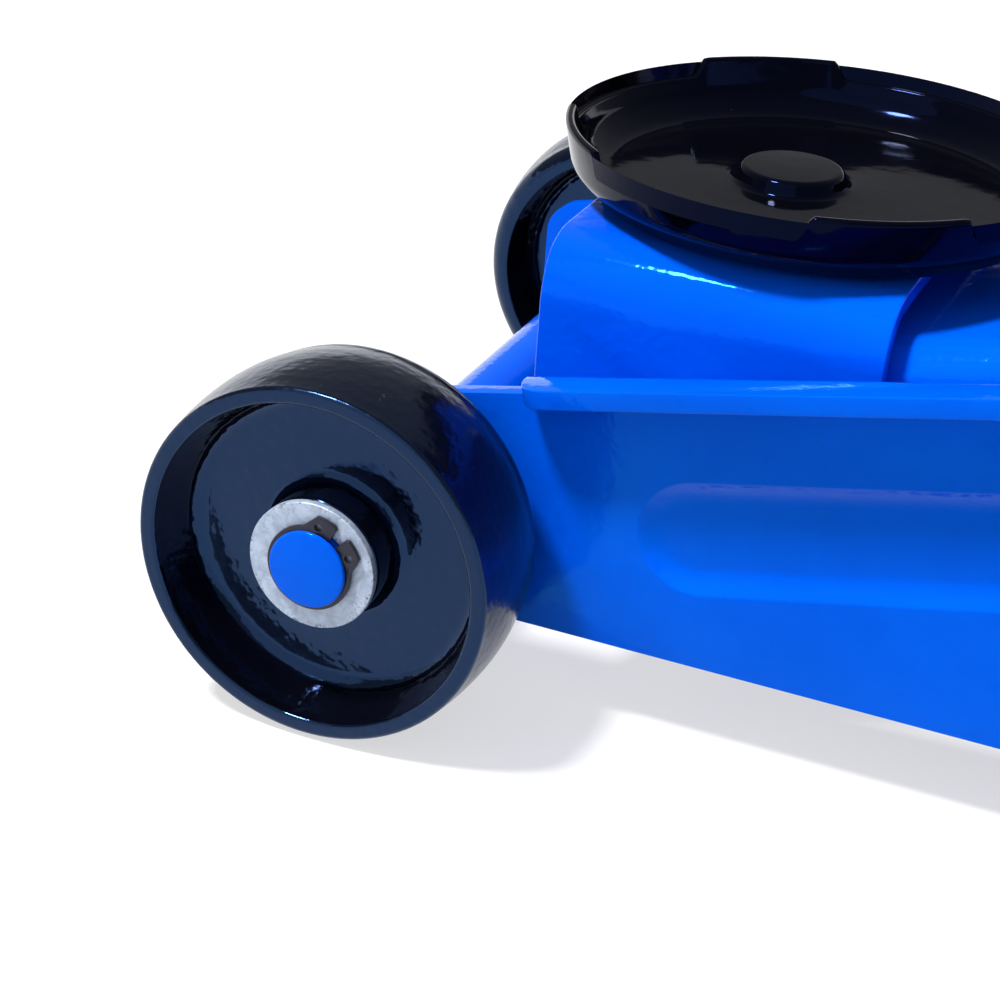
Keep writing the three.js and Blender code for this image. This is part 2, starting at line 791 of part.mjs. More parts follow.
function casterFork() {
  const { wheelWidth, forkGap, forkWall, forkTop, trail, wheelRadius, axleRadius } = caster;
  const { stemRadius, headRadius } = caster;
  const half = wheelWidth / 2 + forkGap + forkWall;
  const section = channel(half, forkTop, 0, forkWall, forkWall + 1.5);
  const side = belt([[-trail, wheelRadius, 7.5], [-trail + 2, forkTop - 6, 7], [9, forkTop - 6, 7]]);
  const race = plainDisc(caster.raceRadius, forkTop - 1, casterPlate.bottomZ - runningGap);
  const stem = turnedZ([
    [0, forkTop - 1], [stemRadius, forkTop - 1], [stemRadius, casterTopZ + runningGap],
    [headRadius, casterTopZ + runningGap], [headRadius, casterTopZ + 2], [headRadius - 2, casterTopZ + 4],
    [0, casterTopZ + 4],
  ]);
  const shell = slabX(section, -60, 40).intersect(slabY(side, -half - 1, half + 1));
  const axleBore = boreY({ x: -trail, z: wheelRadius }, axleRadius + runningGap, -half - 1, half + 1);
  return cut(joined(shell, race, stem), axleBore);
}

function plainDisc(radius, from, to) {
  return turnedZ(pinProfile(radius, from, to, 0.6));
}

function casterWheelProfile() {
  const { wheelRadius: r, wheelWidth, axleRadius } = caster;
  const half = wheelWidth / 2;
  const bore = axleRadius + runningGap;
  const outerHalf = [
    [bore, half], [8.5, half], [8.5, half - 3], [r - 6, half - 3], [r - 5, half - 0.6],
    [r - 2, half - 0.6], [r, half - 4],
  ];
  const innerHalf = outerHalf.map(([radius, y]) => [radius, -y]).reverse();
  return [...outerHalf, ...innerHalf];
}

function casterAxle() {
  const half = caster.wheelWidth / 2 + caster.forkGap + caster.forkWall;
  const { axleRadius } = caster;
  const profile = [
    [0, -half - 3.4], [axleRadius + 2, -half - 3.4], [axleRadius + 3, -half - 2.4],
    [axleRadius + 3, -half - runningGap], [axleRadius, -half - runningGap],
    [axleRadius, half + runningGap], [axleRadius + 2.4, half + runningGap],
    [axleRadius + 2.4, half + 3], [axleRadius, half + 4], [0, half + 4],
  ];
  return turnedY(profile);
}

function hexNut(boreRadius, across, from, to) {
  const disc = turnedZ(pinProfile(across * 1.03, from, to, across * 0.1));
  const hex = slabZ(hexagon(0, 0, across), from, to).intersect(disc);
  return cut(hex, slabZ(circle(0, 0, boreRadius), from - 1, to + 1));
}

function buildCasters() {
  for (const { side, sign } of sides) {
    const group = place(jack, caster.x, sign * casterY, 0);
    piece(group, `caster_fork_${side}`, casterFork(), zinc);
    const wheelGroup = place(group, -caster.trail, 0, caster.wheelRadius);
    piece(wheelGroup, `caster_wheel_${side}`, turnedY(casterWheelProfile()), blackEnamel);
    piece(wheelGroup, `caster_axle_${side}`, casterAxle(), zinc);
  }
}

// ---------------------------------------------------------------- lift arm and its pivots

// The arm in its own frame: the pivot shaft at the origin and +X towards the saddle pin.
function liftArmSolid() {
  const { length, half, wall, bend, top, noseRadius } = arm;
  const { pivotBoss, heelBoss, heelLever, braceRadius } = arm;
  const heelAngle = -90 - liftRange / 2 + arm.restSlope;
  const heel = along({ x: 0, z: 0 }, heelAngle, heelLever);
  const section = channel(half, top, -90, wall, bend);
  const beam = belt([[0, 0, pivotBoss], [length, top - noseRadius, noseRadius]]);
  const lever = belt([[0, 0, pivotBoss], [heel.x, heel.z, heelBoss]]);
  const side = joined(slabY(beam, -half - 1, half + 1), slabY(lever, -half - 1, half + 1));
  const shell = slabX(section, -pivotBoss * 2, length * 1.3).intersect(side);
  const braceHalf = half - wall / 2;
  const brace = shifted(turnedY(pinProfile(braceRadius, -braceHalf, braceHalf, 0)), length * 0.52, 0, -6);
  const bores = [
    boreY({ x: 0, z: 0 }, armShaft.radius + runningGap, -half - 1, half + 1),
    boreY({ x: length, z: 0 }, bracketPin.radius + runningGap, -half - 1, half + 1),
    boreY(heel, heelPin.radius + runningGap, -half - 1, half + 1),
  ];
  return cut(joined(shell, brace), ...bores);
}

function heelPinSolid() {
  const { radius, half, grooveRadius, grooveWidth } = heelPin;
  const grooveIn = springSize.lineY - grooveWidth / 2;
  const grooveOut = springSize.lineY + grooveWidth / 2;
  const end = [
    [radius, grooveIn], [grooveRadius, grooveIn], [grooveRadius, grooveOut], [radius, grooveOut],
    [radius, half - 0.6], [radius - 0.6, half], [0, half],
  ];
  return turnedY([...end.map(([r, y]) => [r, -y]).reverse(), ...end]);
}

function armShaftNut() {
  const { radius, nutRadius, nutHeight } = armShaft;
  const from = plate.outerHalf + runningGap;
  return moved(
    hexNut(radius + runningGap, nutRadius, from, from + nutHeight),
    new THREE.Matrix4().makeRotationX(-Math.PI / 2),
  );
}

function buildLiftArm() {
  const pivot = pointed(jack, armPivot, -arm.restSlope);
  piece(pivot, 'lift_arm', liftArmSolid(), bluePaint);
  const heel = place(jack, heelPoint.x, 0, heelPoint.z);
  piece(heel, 'heel_pin', heelPinSolid(), brightSteel);
  const { radius, half } = heelRoller;
  const roller = turnedY(ringProfile(heelPin.radius + runningGap, radius, -half, half, 0.8));
  piece(heel, 'heel_roller', roller, brightSteel);

  const shaft = place(jack, armPivot.x, 0, armPivot.z);
  const shaftHalf = plate.outerHalf + runningGap + armShaft.nutHeight + 2;
  piece(shaft, 'arm_shaft', turnedY(pinProfile(armShaft.radius, -shaftHalf, shaftHalf, 1)), brightSteel);
  for (const { side, sign } of sides) {
    piece(shaft, `arm_shaft_nut_${side}`, onSide(armShaftNut(), sign), zinc);
    const range = [arm.half + runningGap, plateInner - runningGap];
    const bush = turnedY(ringProfile(armShaft.radius + runningGap, armShaft.bushRadius, ...range));
    piece(shaft, `arm_bush_${side}`, onSide(bush, sign), brightSteel);
  }
}

// ---------------------------------------------------------------- levelling links

function buildLinks() {
  const { innerY, thickness, eye, boltRadius, headRadius } = link;
  const outerY = innerY + thickness;
  const bar = cut(
    slabY(belt([[0, 0, eye], [arm.length, 0, eye]]), innerY, outerY),
    ...[0, arm.length].map((x) => boreY({ x, z: 0 }, boltRadius + runningGap, innerY - 1, outerY + 1)),
  );
  const headAt = plate.outerHalf + runningGap;
  const bolt = [
    [0, innerY - 3.2], [boltRadius + 1.6, innerY - 3.2], [boltRadius + 1.6, innerY - runningGap],
    [boltRadius, innerY - runningGap], [boltRadius, headAt], [headRadius, headAt],
    [headRadius, headAt + 3.4], [headRadius - 1.6, headAt + 5], [0, headAt + 5],
  ];
  for (const { side, sign } of sides) {
    const group = pointed(jack, linkRear, -arm.restSlope);
    piece(group, `link_bar_${side}`, onSide(bar, sign), bluePaint);
    const boltGroup = place(jack, linkRear.x, 0, linkRear.z);
    piece(boltGroup, `link_bolt_${side}`, onSide(turnedY(bolt), sign), zinc);
  }
}

// ---------------------------------------------------------------- saddle bracket and saddle

function bracketSolid() {
  const { half, wall, bend, topZ, frontReach, rearReach, cheekDepth, footRadius } = bracket;
  const front = saddlePin.x + frontReach;
  const rear = saddlePin.x - rearReach;
  const foot = linkFront.z - footRadius;
  const section = channel(half, topZ, foot - 5, wall, bend);
  const side = rounded([
    [rear, topZ], [rear, topZ - cheekDepth, 14], [linkFront.x - footRadius, foot, footRadius - 1],
    [linkFront.x + footRadius, foot, footRadius - 1], [front, topZ - cheekDepth, 14], [front, topZ],
  ], 12);
  const shell = slabX(section, rear - 1, front + 1).intersect(slabY(side, -half - 1, half + 1));
  const { stemRadius } = saddle;
  return cut(
    shell,
    boreY(saddlePin, bracketPin.radius + runningGap, -half - 1, half + 1),
    boreY(linkFront, link.boltRadius + runningGap, -half - 1, half + 1),
    slabZ(circle(saddleX, 0, stemRadius + runningGap), topZ - wall - 1, topZ + 1),
  );
}

// The dish in section, with distance 0 at its underside.
function saddleProfile() {
  const s = saddle;
  const rim = s.rimRise + s.toothHeight;
  const inner = s.radius - s.wall;
  const seat = s.bottomGap - runningGap;
  const grooveTop = s.bottomGap + bracket.wall;
  const grooveEnd = grooveTop + s.ringThickness + 2 * runningGap;
  return [
    [0, -seat - s.stemDepth], [s.stemRadius - 1, -seat - s.stemDepth],
    [s.stemRadius, 1 - seat - s.stemDepth], [s.stemRadius, -grooveEnd],
    [s.stemRadius - 1, -grooveEnd], [s.stemRadius - 1, -grooveTop],
    [s.stemRadius, -grooveTop], [s.stemRadius, -seat], [s.seatRadius, -seat], [s.seatRadius, 0],
    [s.footRadius, 0], [s.footRadius + 3.6, 2], [s.radius - 2.6, 4.2],
    [s.radius, rim - 0.5], [s.radius - 0.5, rim], [inner, rim],
    [inner - 2.4, s.wall + 2.8], [inner - 5, s.wall], [0, s.wall],
  ];
}

// The spaces between the rim's teeth, as sectors that open the rim down to its low edge.
function rimGap(middle) {
  const { radius, rimRise, toothHeight, toothCount, toothAngle } = saddle;
  const sweep = 360 / toothCount - toothAngle;
  const points = [
    ...arc(0, 0, radius + 3, middle - sweep / 2, middle + sweep / 2, 6),
    ...arc(0, 0, radius - 8, middle + sweep / 2, middle - sweep / 2, 6),
  ];
  return slabZ(points, rimRise, rimRise + toothHeight + 1);
}

function saddleSolid() {
  const { toothCount, toothTurn, wall, bossRadius, bossHeight, bossOffset } = saddle;
  const pitch = 360 / toothCount;
  const gaps = Array.from({ length: toothCount }, (_, i) => rimGap(toothTurn + pitch * (i + 0.5)));
  const boss = turnedZ([
    [0, wall / 2], [bossRadius, wall / 2], [bossRadius, wall + bossHeight * 0.5],
    [bossRadius - 1.6, wall + bossHeight], [0, wall + bossHeight],
  ]);
  return joined(cut(turnedZ(saddleProfile()), ...gaps), shifted(boss, bossOffset, 0, 0));
}

function buildSaddle() {
  piece(jack, 'saddle_bracket', bracketSolid(), bluePaint);
  const pinGroup = place(jack, saddlePin.x, 0, saddlePin.z);
  const pinHalf = bracket.half + runningGap;
  const pin = rivetProfile(bracketPin.radius, bracketPin.headRadius, pinHalf, bracketPin.headHeight);
  piece(pinGroup, 'bracket_pin', turnedY(pin), brightSteel);
  const linkGroup = place(jack, linkFront.x, 0, linkFront.z);
  const linkOuter = link.innerY + link.thickness + runningGap;
  const thinPin = rivetProfile(link.boltRadius, linkPin.headRadius, linkOuter, linkPin.headHeight);
  piece(linkGroup, 'link_pin', turnedY(thinPin), brightSteel);
  const dish = place(jack, saddleX, 0, bracket.topZ + saddle.bottomGap);
  piece(dish, 'saddle', saddleSolid(), blackEnamel);
  const { bottomGap, stemRadius, ringThickness } = saddle;
  const ringTop = -(bottomGap + bracket.wall + runningGap);
  const ring = ringProfile(stemRadius - 1 + runningGap, stemRadius + 3, ringTop - ringThickness, ringTop);
  piece(dish, 'saddle_retaining_ring', turnedZ(ring), darkSteel);
}

// ---------------------------------------------------------------- hydraulic unit

function ramRodSolid() {
  const { rodRadius, headThickness, headHalfWidth: w, headHalfHeight: h, tankLength, glandLength } = ram;
  const outline = rounded([[-w, -h, 6], [w, -h, 6], [w, h, 6], [-w, h, 6]]);
  const head = slabX(outline, -headThickness, 0);
  const rear = -headThickness - glandLength - tankLength + 12;
  return joined(head, turnedX(pinProfile(rodRadius, rear, -headThickness / 2, 1)));
}

function cylinderSolid() {
  const { tankRadius: r, tankLength, rodRadius } = ram;
  const bore = rodRadius + runningGap;
  return turnedX([
    [0, -tankLength], [r - 3, -tankLength], [r - 3, 4 - tankLength], [r, 6 - tankLength],
    [r, -3], [r - 2, 0], [bore, 0], [bore, 10 - tankLength], [0, 10 - tankLength],
  ]);
}

function glandSolid() {
  const { glandRadius, glandLength, rodRadius } = ram;
  const disc = turnedX(ringProfile(rodRadius + runningGap, glandRadius, 0, glandLength - runningGap, 1));
  const slots = [45, 135, 225, 315].map((angle) => {
    const centre = along({ x: 0, z: 0 }, angle, glandRadius);
    return slabX(circle(centre.x, centre.z, 3), -1, glandLength);
  });
  return cut(disc, ...slots);
}

function blockSolid() {
  const { half, bottomZ, footZ, footLength, topZ, rearX } = block;
  const side = rounded([
    [blockFrontX, footZ, 5], [blockFrontX, topZ + 4, 8], [blockFrontX - 18, topZ + 4, 3],
    [blockFrontX - 24, topZ, 2], [rearX, topZ, 5], [rearX, bottomZ, 3],
    [blockFrontX - footLength, bottomZ, 4], [blockFrontX - footLength, footZ, 4],
  ]);
  const body = slabY(side, -half, half);
  const waist = slabY(rounded([
    [rearX + 8, bottomZ + 7, 3],
    [rearX + 8, topZ - 7, 3],
    [rearX + 34, topZ - 7, 3],
    [rearX + 34, bottomZ + 7, 3],
  ], 30), half - 3, half + 1);
  const plungerRoom = slabZ(circle(pumpX, 0, pump.plungerRadius + runningGap), topZ - 8, topZ + 1);
  return cut(body, waist, onSide(waist, -1), plungerRoom);
}

function buildHydraulics() {
  const line = place(jack, 0, 0, ram.axisZ);
  piece(place(line, ramFaceX), 'ram_rod', ramRodSolid(), brightSteel);
  piece(place(line, glandBackX), 'ram_gland_nut', glandSolid(), darkSteel);
  piece(place(line, tankFrontX), 'ram_cylinder', cylinderSolid(), grayCasting);
  piece(jack, 'pump_block', blockSolid(), grayCasting);
  const plug = turnedZ([[0, 0], [4, 0], [4, 1.2], [6.5, 1.2], [7, 2.4], [5.5, 4.4], [0, 5]]);
  const fillerZ = ram.axisZ + ram.tankRadius + runningGap;
  piece(place(jack, tankFrontX - ram.tankLength * 0.45, 0, fillerZ), 'filler_plug', plug, blackRubber);
  buildPump();
  buildValve();
}

function helixSpring(radius, wire, turns, height) {
  const steps = turns * 8;
  const points = Array.from({ length: steps + 1 }, (_, i) => {
    const angle = (i / 8) * 2 * Math.PI;
    const z = wire + ((height - 2 * wire) * i) / steps;
    return axis(radius * Math.cos(angle), radius * Math.sin(angle), z);
  });
  const options = { steps, bevelEnabled: false, extrudePath: new THREE.CatmullRomCurve3(points) };
  return toSolid(new THREE.ExtrudeGeometry(new THREE.Shape(circle(0, 0, wire, 5)), options));
}

function buildPump() {
  const { barrelRadius, barrelHeight, plungerRadius, capRadius, capHeight } = pump;
  const top = block.topZ;
  const bore = plungerRadius + runningGap;
  const barrel = turnedZ(ringProfile(bore, barrelRadius, runningGap, barrelHeight, 1.2));
  const at = place(jack, pumpX, 0, top);
  piece(at, 'pump_barrel', barrel, brightSteel);
  const capTop = plungerTopZ - top;
  const plunger = [
    [0, -7], [plungerRadius, -7], [plungerRadius, capTop - capHeight], [capRadius, capTop - capHeight],
    [capRadius, capTop - 0.8], [capRadius - 0.8, capTop], [0, capTop],
  ];
  piece(at, 'pump_plunger', turnedZ(plunger), brightSteel);
  const springRoom = capTop - capHeight - barrelHeight - 2 * runningGap;
  const spring = helixSpring(pump.springRadius, pump.springWire, pump.springTurns, springRoom);
  piece(place(at, 0, 0, barrelHeight + runningGap), 'pump_spring', spring, brightSteel);
}

function buildValve() {
  const { radius, length, barRadius, barHalf, height } = valve;
  const stem = turnedX(pinProfile(radius, -length, -runningGap, 0.8));
  const bar = turnedY(pinProfile(barRadius, -barHalf, barHalf, 0.5));
  const group = place(jack, block.rearX, 0, block.bottomZ + height);
  piece(group, 'release_valve', joined(stem, shifted(bar, radius - length, 0, 0)), zinc);
}

// ---------------------------------------------------------------- return springs

// A close-wound extension spring lying along +X, with an eye round a pin at each end.
function returnSpring(span, firstEye, lastEye) {
  const { radius, wire } = springSize;
  const bodyFrom = firstEye + 2 * wire + 1;
  const bodyTo = span - lastEye - 2 * wire - 1;
  const turns = Math.round((bodyTo - bodyFrom) / (12 * wire)); // one rib for every six turns
  const pitch = (bodyTo - bodyFrom) / turns;
  const profile = [[0, bodyFrom]];
  for (let i = 0; i < turns; i += 1) {
    profile.push([radius - wire * 0.7, bodyFrom + pitch * i], [radius, bodyFrom + pitch * (i + 0.5)]);
  }
  profile.push([radius - wire * 0.7, bodyTo], [0, bodyTo]);
  const eye = (inner, x) => shifted(turnedY(ringProfile(inner, inner + 1.8 * wire, -wire, wire)), x, 0, 0);
  const neck = turnedX(pinProfile(wire, firstEye + wire, span - lastEye - wire, 0));
  return joined(turnedX(profile), neck, eye(firstEye, 0), eye(lastEye, span));
}

function buildReturnSprings() {
  const { anchorX, anchorZ, lineY, studRadius } = springSize;
  const reach = Math.hypot(anchorX - heelPoint.x, anchorZ - heelPoint.z);
  const slope = THREE.MathUtils.radToDeg(Math.atan2(anchorZ - heelPoint.z, anchorX - heelPoint.x));
  const spring = returnSpring(reach, heelPin.grooveRadius + runningGap, studRadius + runningGap);
  for (const { side, sign } of sides) {
    const group = pointed(jack, heelPoint, slope);
    group.position.y = sign * lineY;
    piece(group, `return_spring_${side}`, spring, brightSteel);
  }
}

// ---------------------------------------------------------------- handle

// The handle's own frame: its pivot at the origin, +X along the handle and -Z on its upper side.
function socketSolid() {
  const h = handle;
  const bore = h.radius + runningGap;
  const sleeve = turnedX(ringProfile(bore, h.sleeveRadius, h.sleeveStart, h.sleeveEnd, 1.2));
  const earSide = belt([[0, 0, h.earRadius], [h.sleeveStart + 18, 0, h.sleeveRadius - 2]]);
  const roller = localRoller();
  const horn = belt([[0, 0, h.earRadius], [roller.x, roller.z, pump.rollerRadius + 3.4]]);
  const inner = h.earHalf - h.earWall;
  const ears = [1, -1].map((sign) => {
    const range = sign > 0 ? [inner, h.earHalf] : [-h.earHalf, -inner];
    return joined(slabY(earSide, ...range), slabY(horn, ...range));
  });
  const tubeRoom = turnedX(pinProfile(bore, h.sleeveStart - 2, h.sleeveEnd + 1, 0));
  return cut(
    joined(sleeve, ...ears),
    tubeRoom,
    boreY({ x: 0, z: 0 }, h.shaftRadius + runningGap, -h.earHalf - 1, h.earHalf + 1),
    boreY(roller, pump.rollerRadius + runningGap, -h.earHalf - 1, h.earHalf + 1),
    slabZ(circle(h.sleeveStart + 60, 0, 3.3), -h.sleeveRadius - 1, 0),
  );
}

// The pump roller in the handle's frame.
function localRoller() {
  const turn = pump.swing / 2 + handle.restTilt;
  return { x: pump.lever * Math.cos(radians(turn)), z: pump.lever * Math.sin(radians(turn)) };
}

function handleTubes(group) {
  const { radius: r, wall, sleeveStart, jointAt, spigot, endAt } = handle;
  const { gripLength, gripRadius: g, gripRibs } = handle;
  const lower = turnedX(ringProfile(r - wall, r, sleeveStart + 1, jointAt, 0.6));
  piece(group, 'handle_lower', cut(lower, slabZ(circle(sleeveStart + 60, 0, 3.3), -r - 1, 0)), brightSteel);
  const inner = r - wall - runningGap;
  const upper = [
    [inner - wall, jointAt - spigot], [inner, jointAt - spigot], [inner, jointAt + runningGap],
    [r, jointAt + 2], [r, endAt], [r - wall, endAt], [r - wall, jointAt + 6], [inner - wall, jointAt + 3],
  ];
  piece(group, 'handle_upper', turnedX(upper), brightSteel);
  const from = endAt - gripLength;
  const sleeve = r + runningGap;
  const ribs = [];
  const pitch = (gripLength - 40) / gripRibs;
  for (let i = 0; i < gripRibs; i += 1) {
    const start = endAt - 16 - i * pitch;
    ribs.push([g, start], [g - 1.4, start - pitch / 2]);
  }
  const grip = [
    [0, endAt + 3.5], [g - 2.5, endAt + 3.5], [g, endAt + 0.5], ...ribs,
    [g, from + 2], [g - 1.5, from], [sleeve, from], [sleeve, endAt + runningGap], [0, endAt + runningGap],
  ];
  piece(group, 'handle_grip', turnedX(grip.reverse()), blackRubber);
}

function handleScrew() {
  const { sleeveStart, sleeveRadius, radius } = handle;
  const shank = turnedZ(pinProfile(3, -sleeveRadius - 4, -radius + 4, 0.6));
  const head = slabZ(hexagon(0, 0, 7), -sleeveRadius - 6, -sleeveRadius - runningGap);
  return shifted(joined(shank, head), sleeveStart + 60, 0, 0);
}

function buildHandle() {
  const group = pointed(jack, handlePivot, 180 - handle.restTilt);
  piece(group, 'handle_socket', socketSolid(), bluePaint);
  const roller = localRoller();
  const pin = turnedY(pinProfile(pump.rollerRadius, -handle.earHalf, handle.earHalf, 0.6));
  piece(place(group, roller.x, 0, roller.z), 'pump_roller', pin, brightSteel);
  handleTubes(group);
  piece(group, 'handle_screw', handleScrew(), zinc);

  const shaft = place(jack, handlePivot.x, 0, handlePivot.z);
  const shaftProfile = rivetProfile(handle.shaftRadius, handle.shaftHead, plate.outerHalf + runningGap, 4);
  piece(shaft, 'socket_shaft', turnedY(shaftProfile), brightSteel);
  const range = [handle.earHalf + runningGap, plateInner - runningGap];
  const spacer = turnedY(ringProfile(handle.shaftRadius + runningGap, handle.spacerRadius, ...range));
  for (const { side, sign } of sides) {
    piece(shaft, `socket_spacer_${side}`, onSide(spacer, sign), brightSteel);
  }
}

// ---------------------------------------------------------------- assembly

buildFrame();
buildFrontWheels();
buildCasters();
buildLiftArm();
buildLinks();
buildSaddle();
buildHydraulics();
buildReturnSprings();
buildHandle();

// The part's origin is on the floor under the middle of the whole jack.
jack.updateMatrixWorld(true);
const bounds = new THREE.Box3().setFromObject(jack, true);
const part = new THREE.Group();
jack.position.x = -(bounds.min.x + bounds.max.x) / 2;
part.add(jack);

export default part;
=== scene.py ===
import json
import math

import bpy
from mathutils import Matrix, Vector


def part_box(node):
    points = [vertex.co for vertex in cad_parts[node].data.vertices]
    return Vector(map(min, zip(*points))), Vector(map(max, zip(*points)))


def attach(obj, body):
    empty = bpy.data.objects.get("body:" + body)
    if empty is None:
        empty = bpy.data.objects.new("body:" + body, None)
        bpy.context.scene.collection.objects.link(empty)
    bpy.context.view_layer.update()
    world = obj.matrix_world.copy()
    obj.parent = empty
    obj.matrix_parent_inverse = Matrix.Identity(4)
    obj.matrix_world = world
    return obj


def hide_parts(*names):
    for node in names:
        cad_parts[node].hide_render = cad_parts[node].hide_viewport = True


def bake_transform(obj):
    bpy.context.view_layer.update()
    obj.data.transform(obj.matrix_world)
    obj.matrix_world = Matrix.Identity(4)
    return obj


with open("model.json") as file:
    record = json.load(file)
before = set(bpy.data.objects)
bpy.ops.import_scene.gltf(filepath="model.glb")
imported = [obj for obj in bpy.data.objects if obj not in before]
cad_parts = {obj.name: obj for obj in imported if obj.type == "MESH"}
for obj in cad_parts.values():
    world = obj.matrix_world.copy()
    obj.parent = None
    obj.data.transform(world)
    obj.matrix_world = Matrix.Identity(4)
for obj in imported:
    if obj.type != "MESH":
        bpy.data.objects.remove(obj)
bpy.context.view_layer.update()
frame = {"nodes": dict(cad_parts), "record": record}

mm = 0.001
forwards, leftwards, upwards = Vector((1, 0, 0)), Vector((0, 1, 0)), Vector((0, 0, 1))
sides = {"left": 1, "right": -1}


def stage(words):
    print("jack:", words)


# places taken from the frame

def middle(node):
    low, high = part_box(node)
    return (low + high) / 2


def extent(node):
    low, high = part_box(node)
    return high - low


# radii of the bars and pins, and the room over them that other pieces are bored with
slack = 0.3 * mm
barRadius = {
    "front_axle": extent("front_axle").z / 2,
    "frame_tie_bar": 6.0 * mm,
    "arm_shaft": 11.0 * mm,
    "socket_shaft": 7.0 * mm,
    "bracket_pin": 7.0 * mm,
    "link_pin": 5.0 * mm,
    "heel_pin": 5.5 * mm,
    "link_bolt": 5.0 * mm,
    "cover_screw": 2.5 * mm,
    "caster_axle": 4.0 * mm,
    "pump_roller": 5.0 * mm,
    "pump_plunger": 6.0 * mm,
    "saddle_groove": 9.0 * mm,
}


def radiusOf(bar):
    return barRadius[bar.removesuffix("_left").removesuffix("_right")]


def boreFor(bar):
    return radiusOf(bar) + slack


# modelling tools

def deselect():
    if bpy.context.mode != "OBJECT":
        bpy.ops.object.mode_set(mode="OBJECT")
    bpy.ops.object.select_all(action="DESELECT")


def makeActive(piece):
    deselect()
    piece.select_set(True)
    bpy.context.view_layer.objects.active = piece
    return piece


def edit(piece):
    makeActive(piece)
    bpy.ops.object.mode_set(mode="EDIT")
    bpy.ops.mesh.select_mode(type="VERT")
    bpy.ops.mesh.select_all(action="SELECT")


def begin(name):
    deselect()
    bpy.ops.mesh.primitive_plane_add(size=mm)
    piece = bpy.context.active_object
    piece.name = name
    piece.data.name = name
    bpy.ops.object.mode_set(mode="EDIT")
    bpy.ops.mesh.select_mode(type="VERT")
    bpy.ops.mesh.delete(type="VERT")
    return piece


# one loose vertex, selected, ready to be pulled out into a line
def penDown(at):
    bpy.ops.mesh.select_all(action="DESELECT")
    bpy.ops.mesh.primitive_plane_add(size=mm)
    bpy.ops.mesh.merge(type="CENTER")
    bpy.ops.transform.translate(value=at)


def pull(step):
    bpy.ops.mesh.extrude_region_move(TRANSFORM_OT_translate={"value": step})


def draw(points, closed=False):
    penDown(points[0])
    run = list(points) + ([points[0]] if closed else [])
    for here, there in zip(run, run[1:]):
        pull(there - here)


def tidyMesh(outwards=True):
    bpy.ops.mesh.select_all(action="SELECT")
    bpy.ops.mesh.remove_doubles(threshold=0.002 * mm)
    if outwards:
        bpy.ops.mesh.normals_make_consistent(inside=False)


# selects the vertices, edges or faces that a test on their middle and direction lets through
def pick(piece, test, kind="FACE", among=None):
    bpy.ops.mesh.select_mode(type="VERT")
    bpy.ops.mesh.select_all(action="DESELECT")
    bpy.ops.mesh.select_mode(type=kind)
    bpy.ops.object.mode_set(mode="OBJECT")
    mesh = piece.data
    if kind == "FACE":
        for face in mesh.polygons:
            face.select = bool(test(face.center, face.normal))
    elif kind == "EDGE":
        for edge in mesh.edges:
            a, b = (mesh.vertices[i].co for i in edge.vertices)
            edge.select = bool((among is None or edge.index in among) and test((a + b) / 2, b - a))
    else:
        for vertex in mesh.vertices:
            vertex.select = bool(test(vertex.co, vertex.normal))
    bpy.ops.object.mode_set(mode="EDIT")


def sharpEdges(piece, degrees):
    edit(piece)
    bpy.ops.mesh.select_mode(type="EDGE")
    bpy.ops.mesh.select_all(action="DESELECT")
    bpy.ops.mesh.edges_select_sharp(sharpness=math.radians(degrees))
    bpy.ops.object.mode_set(mode="OBJECT")
    found = {edge.index for edge in piece.data.edges if edge.select}
    bpy.ops.object.mode_set(mode="EDIT")
    return found


def modified(piece, kind, **settings):
    makeActive(piece)
    modifier = piece.modifiers.new(kind.title(), kind)
    for key, value in settings.items():
        setattr(modifier, key, value)
    bpy.ops.object.modifier_apply(modifier=modifier.name)
    return piece


def softEdges(piece, width, segments=2, degrees=35):
    modified(piece, "BEVEL", width=width, segments=segments, limit_method="ANGLE",
             angle_limit=math.radians(degrees), harden_normals=False, use_clamp_overlap=True)
    return smooth(piece, degrees)


def smooth(piece, degrees=35):
    makeActive(piece)
    bpy.ops.object.shade_smooth_by_angle(angle=math.radians(degrees))
    return piece


def trimmed(piece, cutter, operation="DIFFERENCE"):
    modified(piece, "BOOLEAN", object=cutter, operation=operation, solver="EXACT")
    bpy.data.objects.remove(cutter)
    return piece


# an open or closed run of corners (across, along, radius), each rounded into an arc
def eased(corners, closed=False, degrees=10):
    run = []
    for i, corner in enumerate(corners):
        here, radius = Vector(corner[:2]), corner[2] if len(corner) > 2 else 0
        if not radius or (not closed and i in (0, len(corners) - 1)):
            run.append(here)
            continue
        back = (Vector(corners[i - 1][:2]) - here).normalized()
        ahead = (Vector(corners[(i + 1) % len(corners)][:2]) - here).normalized()
        half = back.angle(ahead) / 2
        centre = here + (back + ahead).normalized() * radius / math.sin(half)
        start = here + back * radius / math.tan(half) - centre
        turn = (math.pi - 2 * half) * (-1 if back.cross(ahead) > 0 else 1)
        steps = max(2, round(abs(math.degrees(turn)) / degrees))
        for k in range(steps + 1):
            run.append(centre + Matrix.Rotation(turn * k / steps, 2) @ start)
    return run


def circle(radius, steps=32, centre=Vector((0, 0))):
    return [centre + radius * Vector((math.cos(a), math.sin(a)))
            for a in (math.tau * k / steps for k in range(steps))]


# half a profile, from the middle to one end, and the same half the other way
def bothWays(half):
    return [Vector((p.x, -p.y)) for p in reversed(half)] + half


# across a folded channel: up one cheek, over the top and down the other
def channel(half, foot, top, bend, degrees=7):
    return eased([(-half, foot), (-half, top, bend), (half, top, bend), (half, foot)], degrees=degrees)


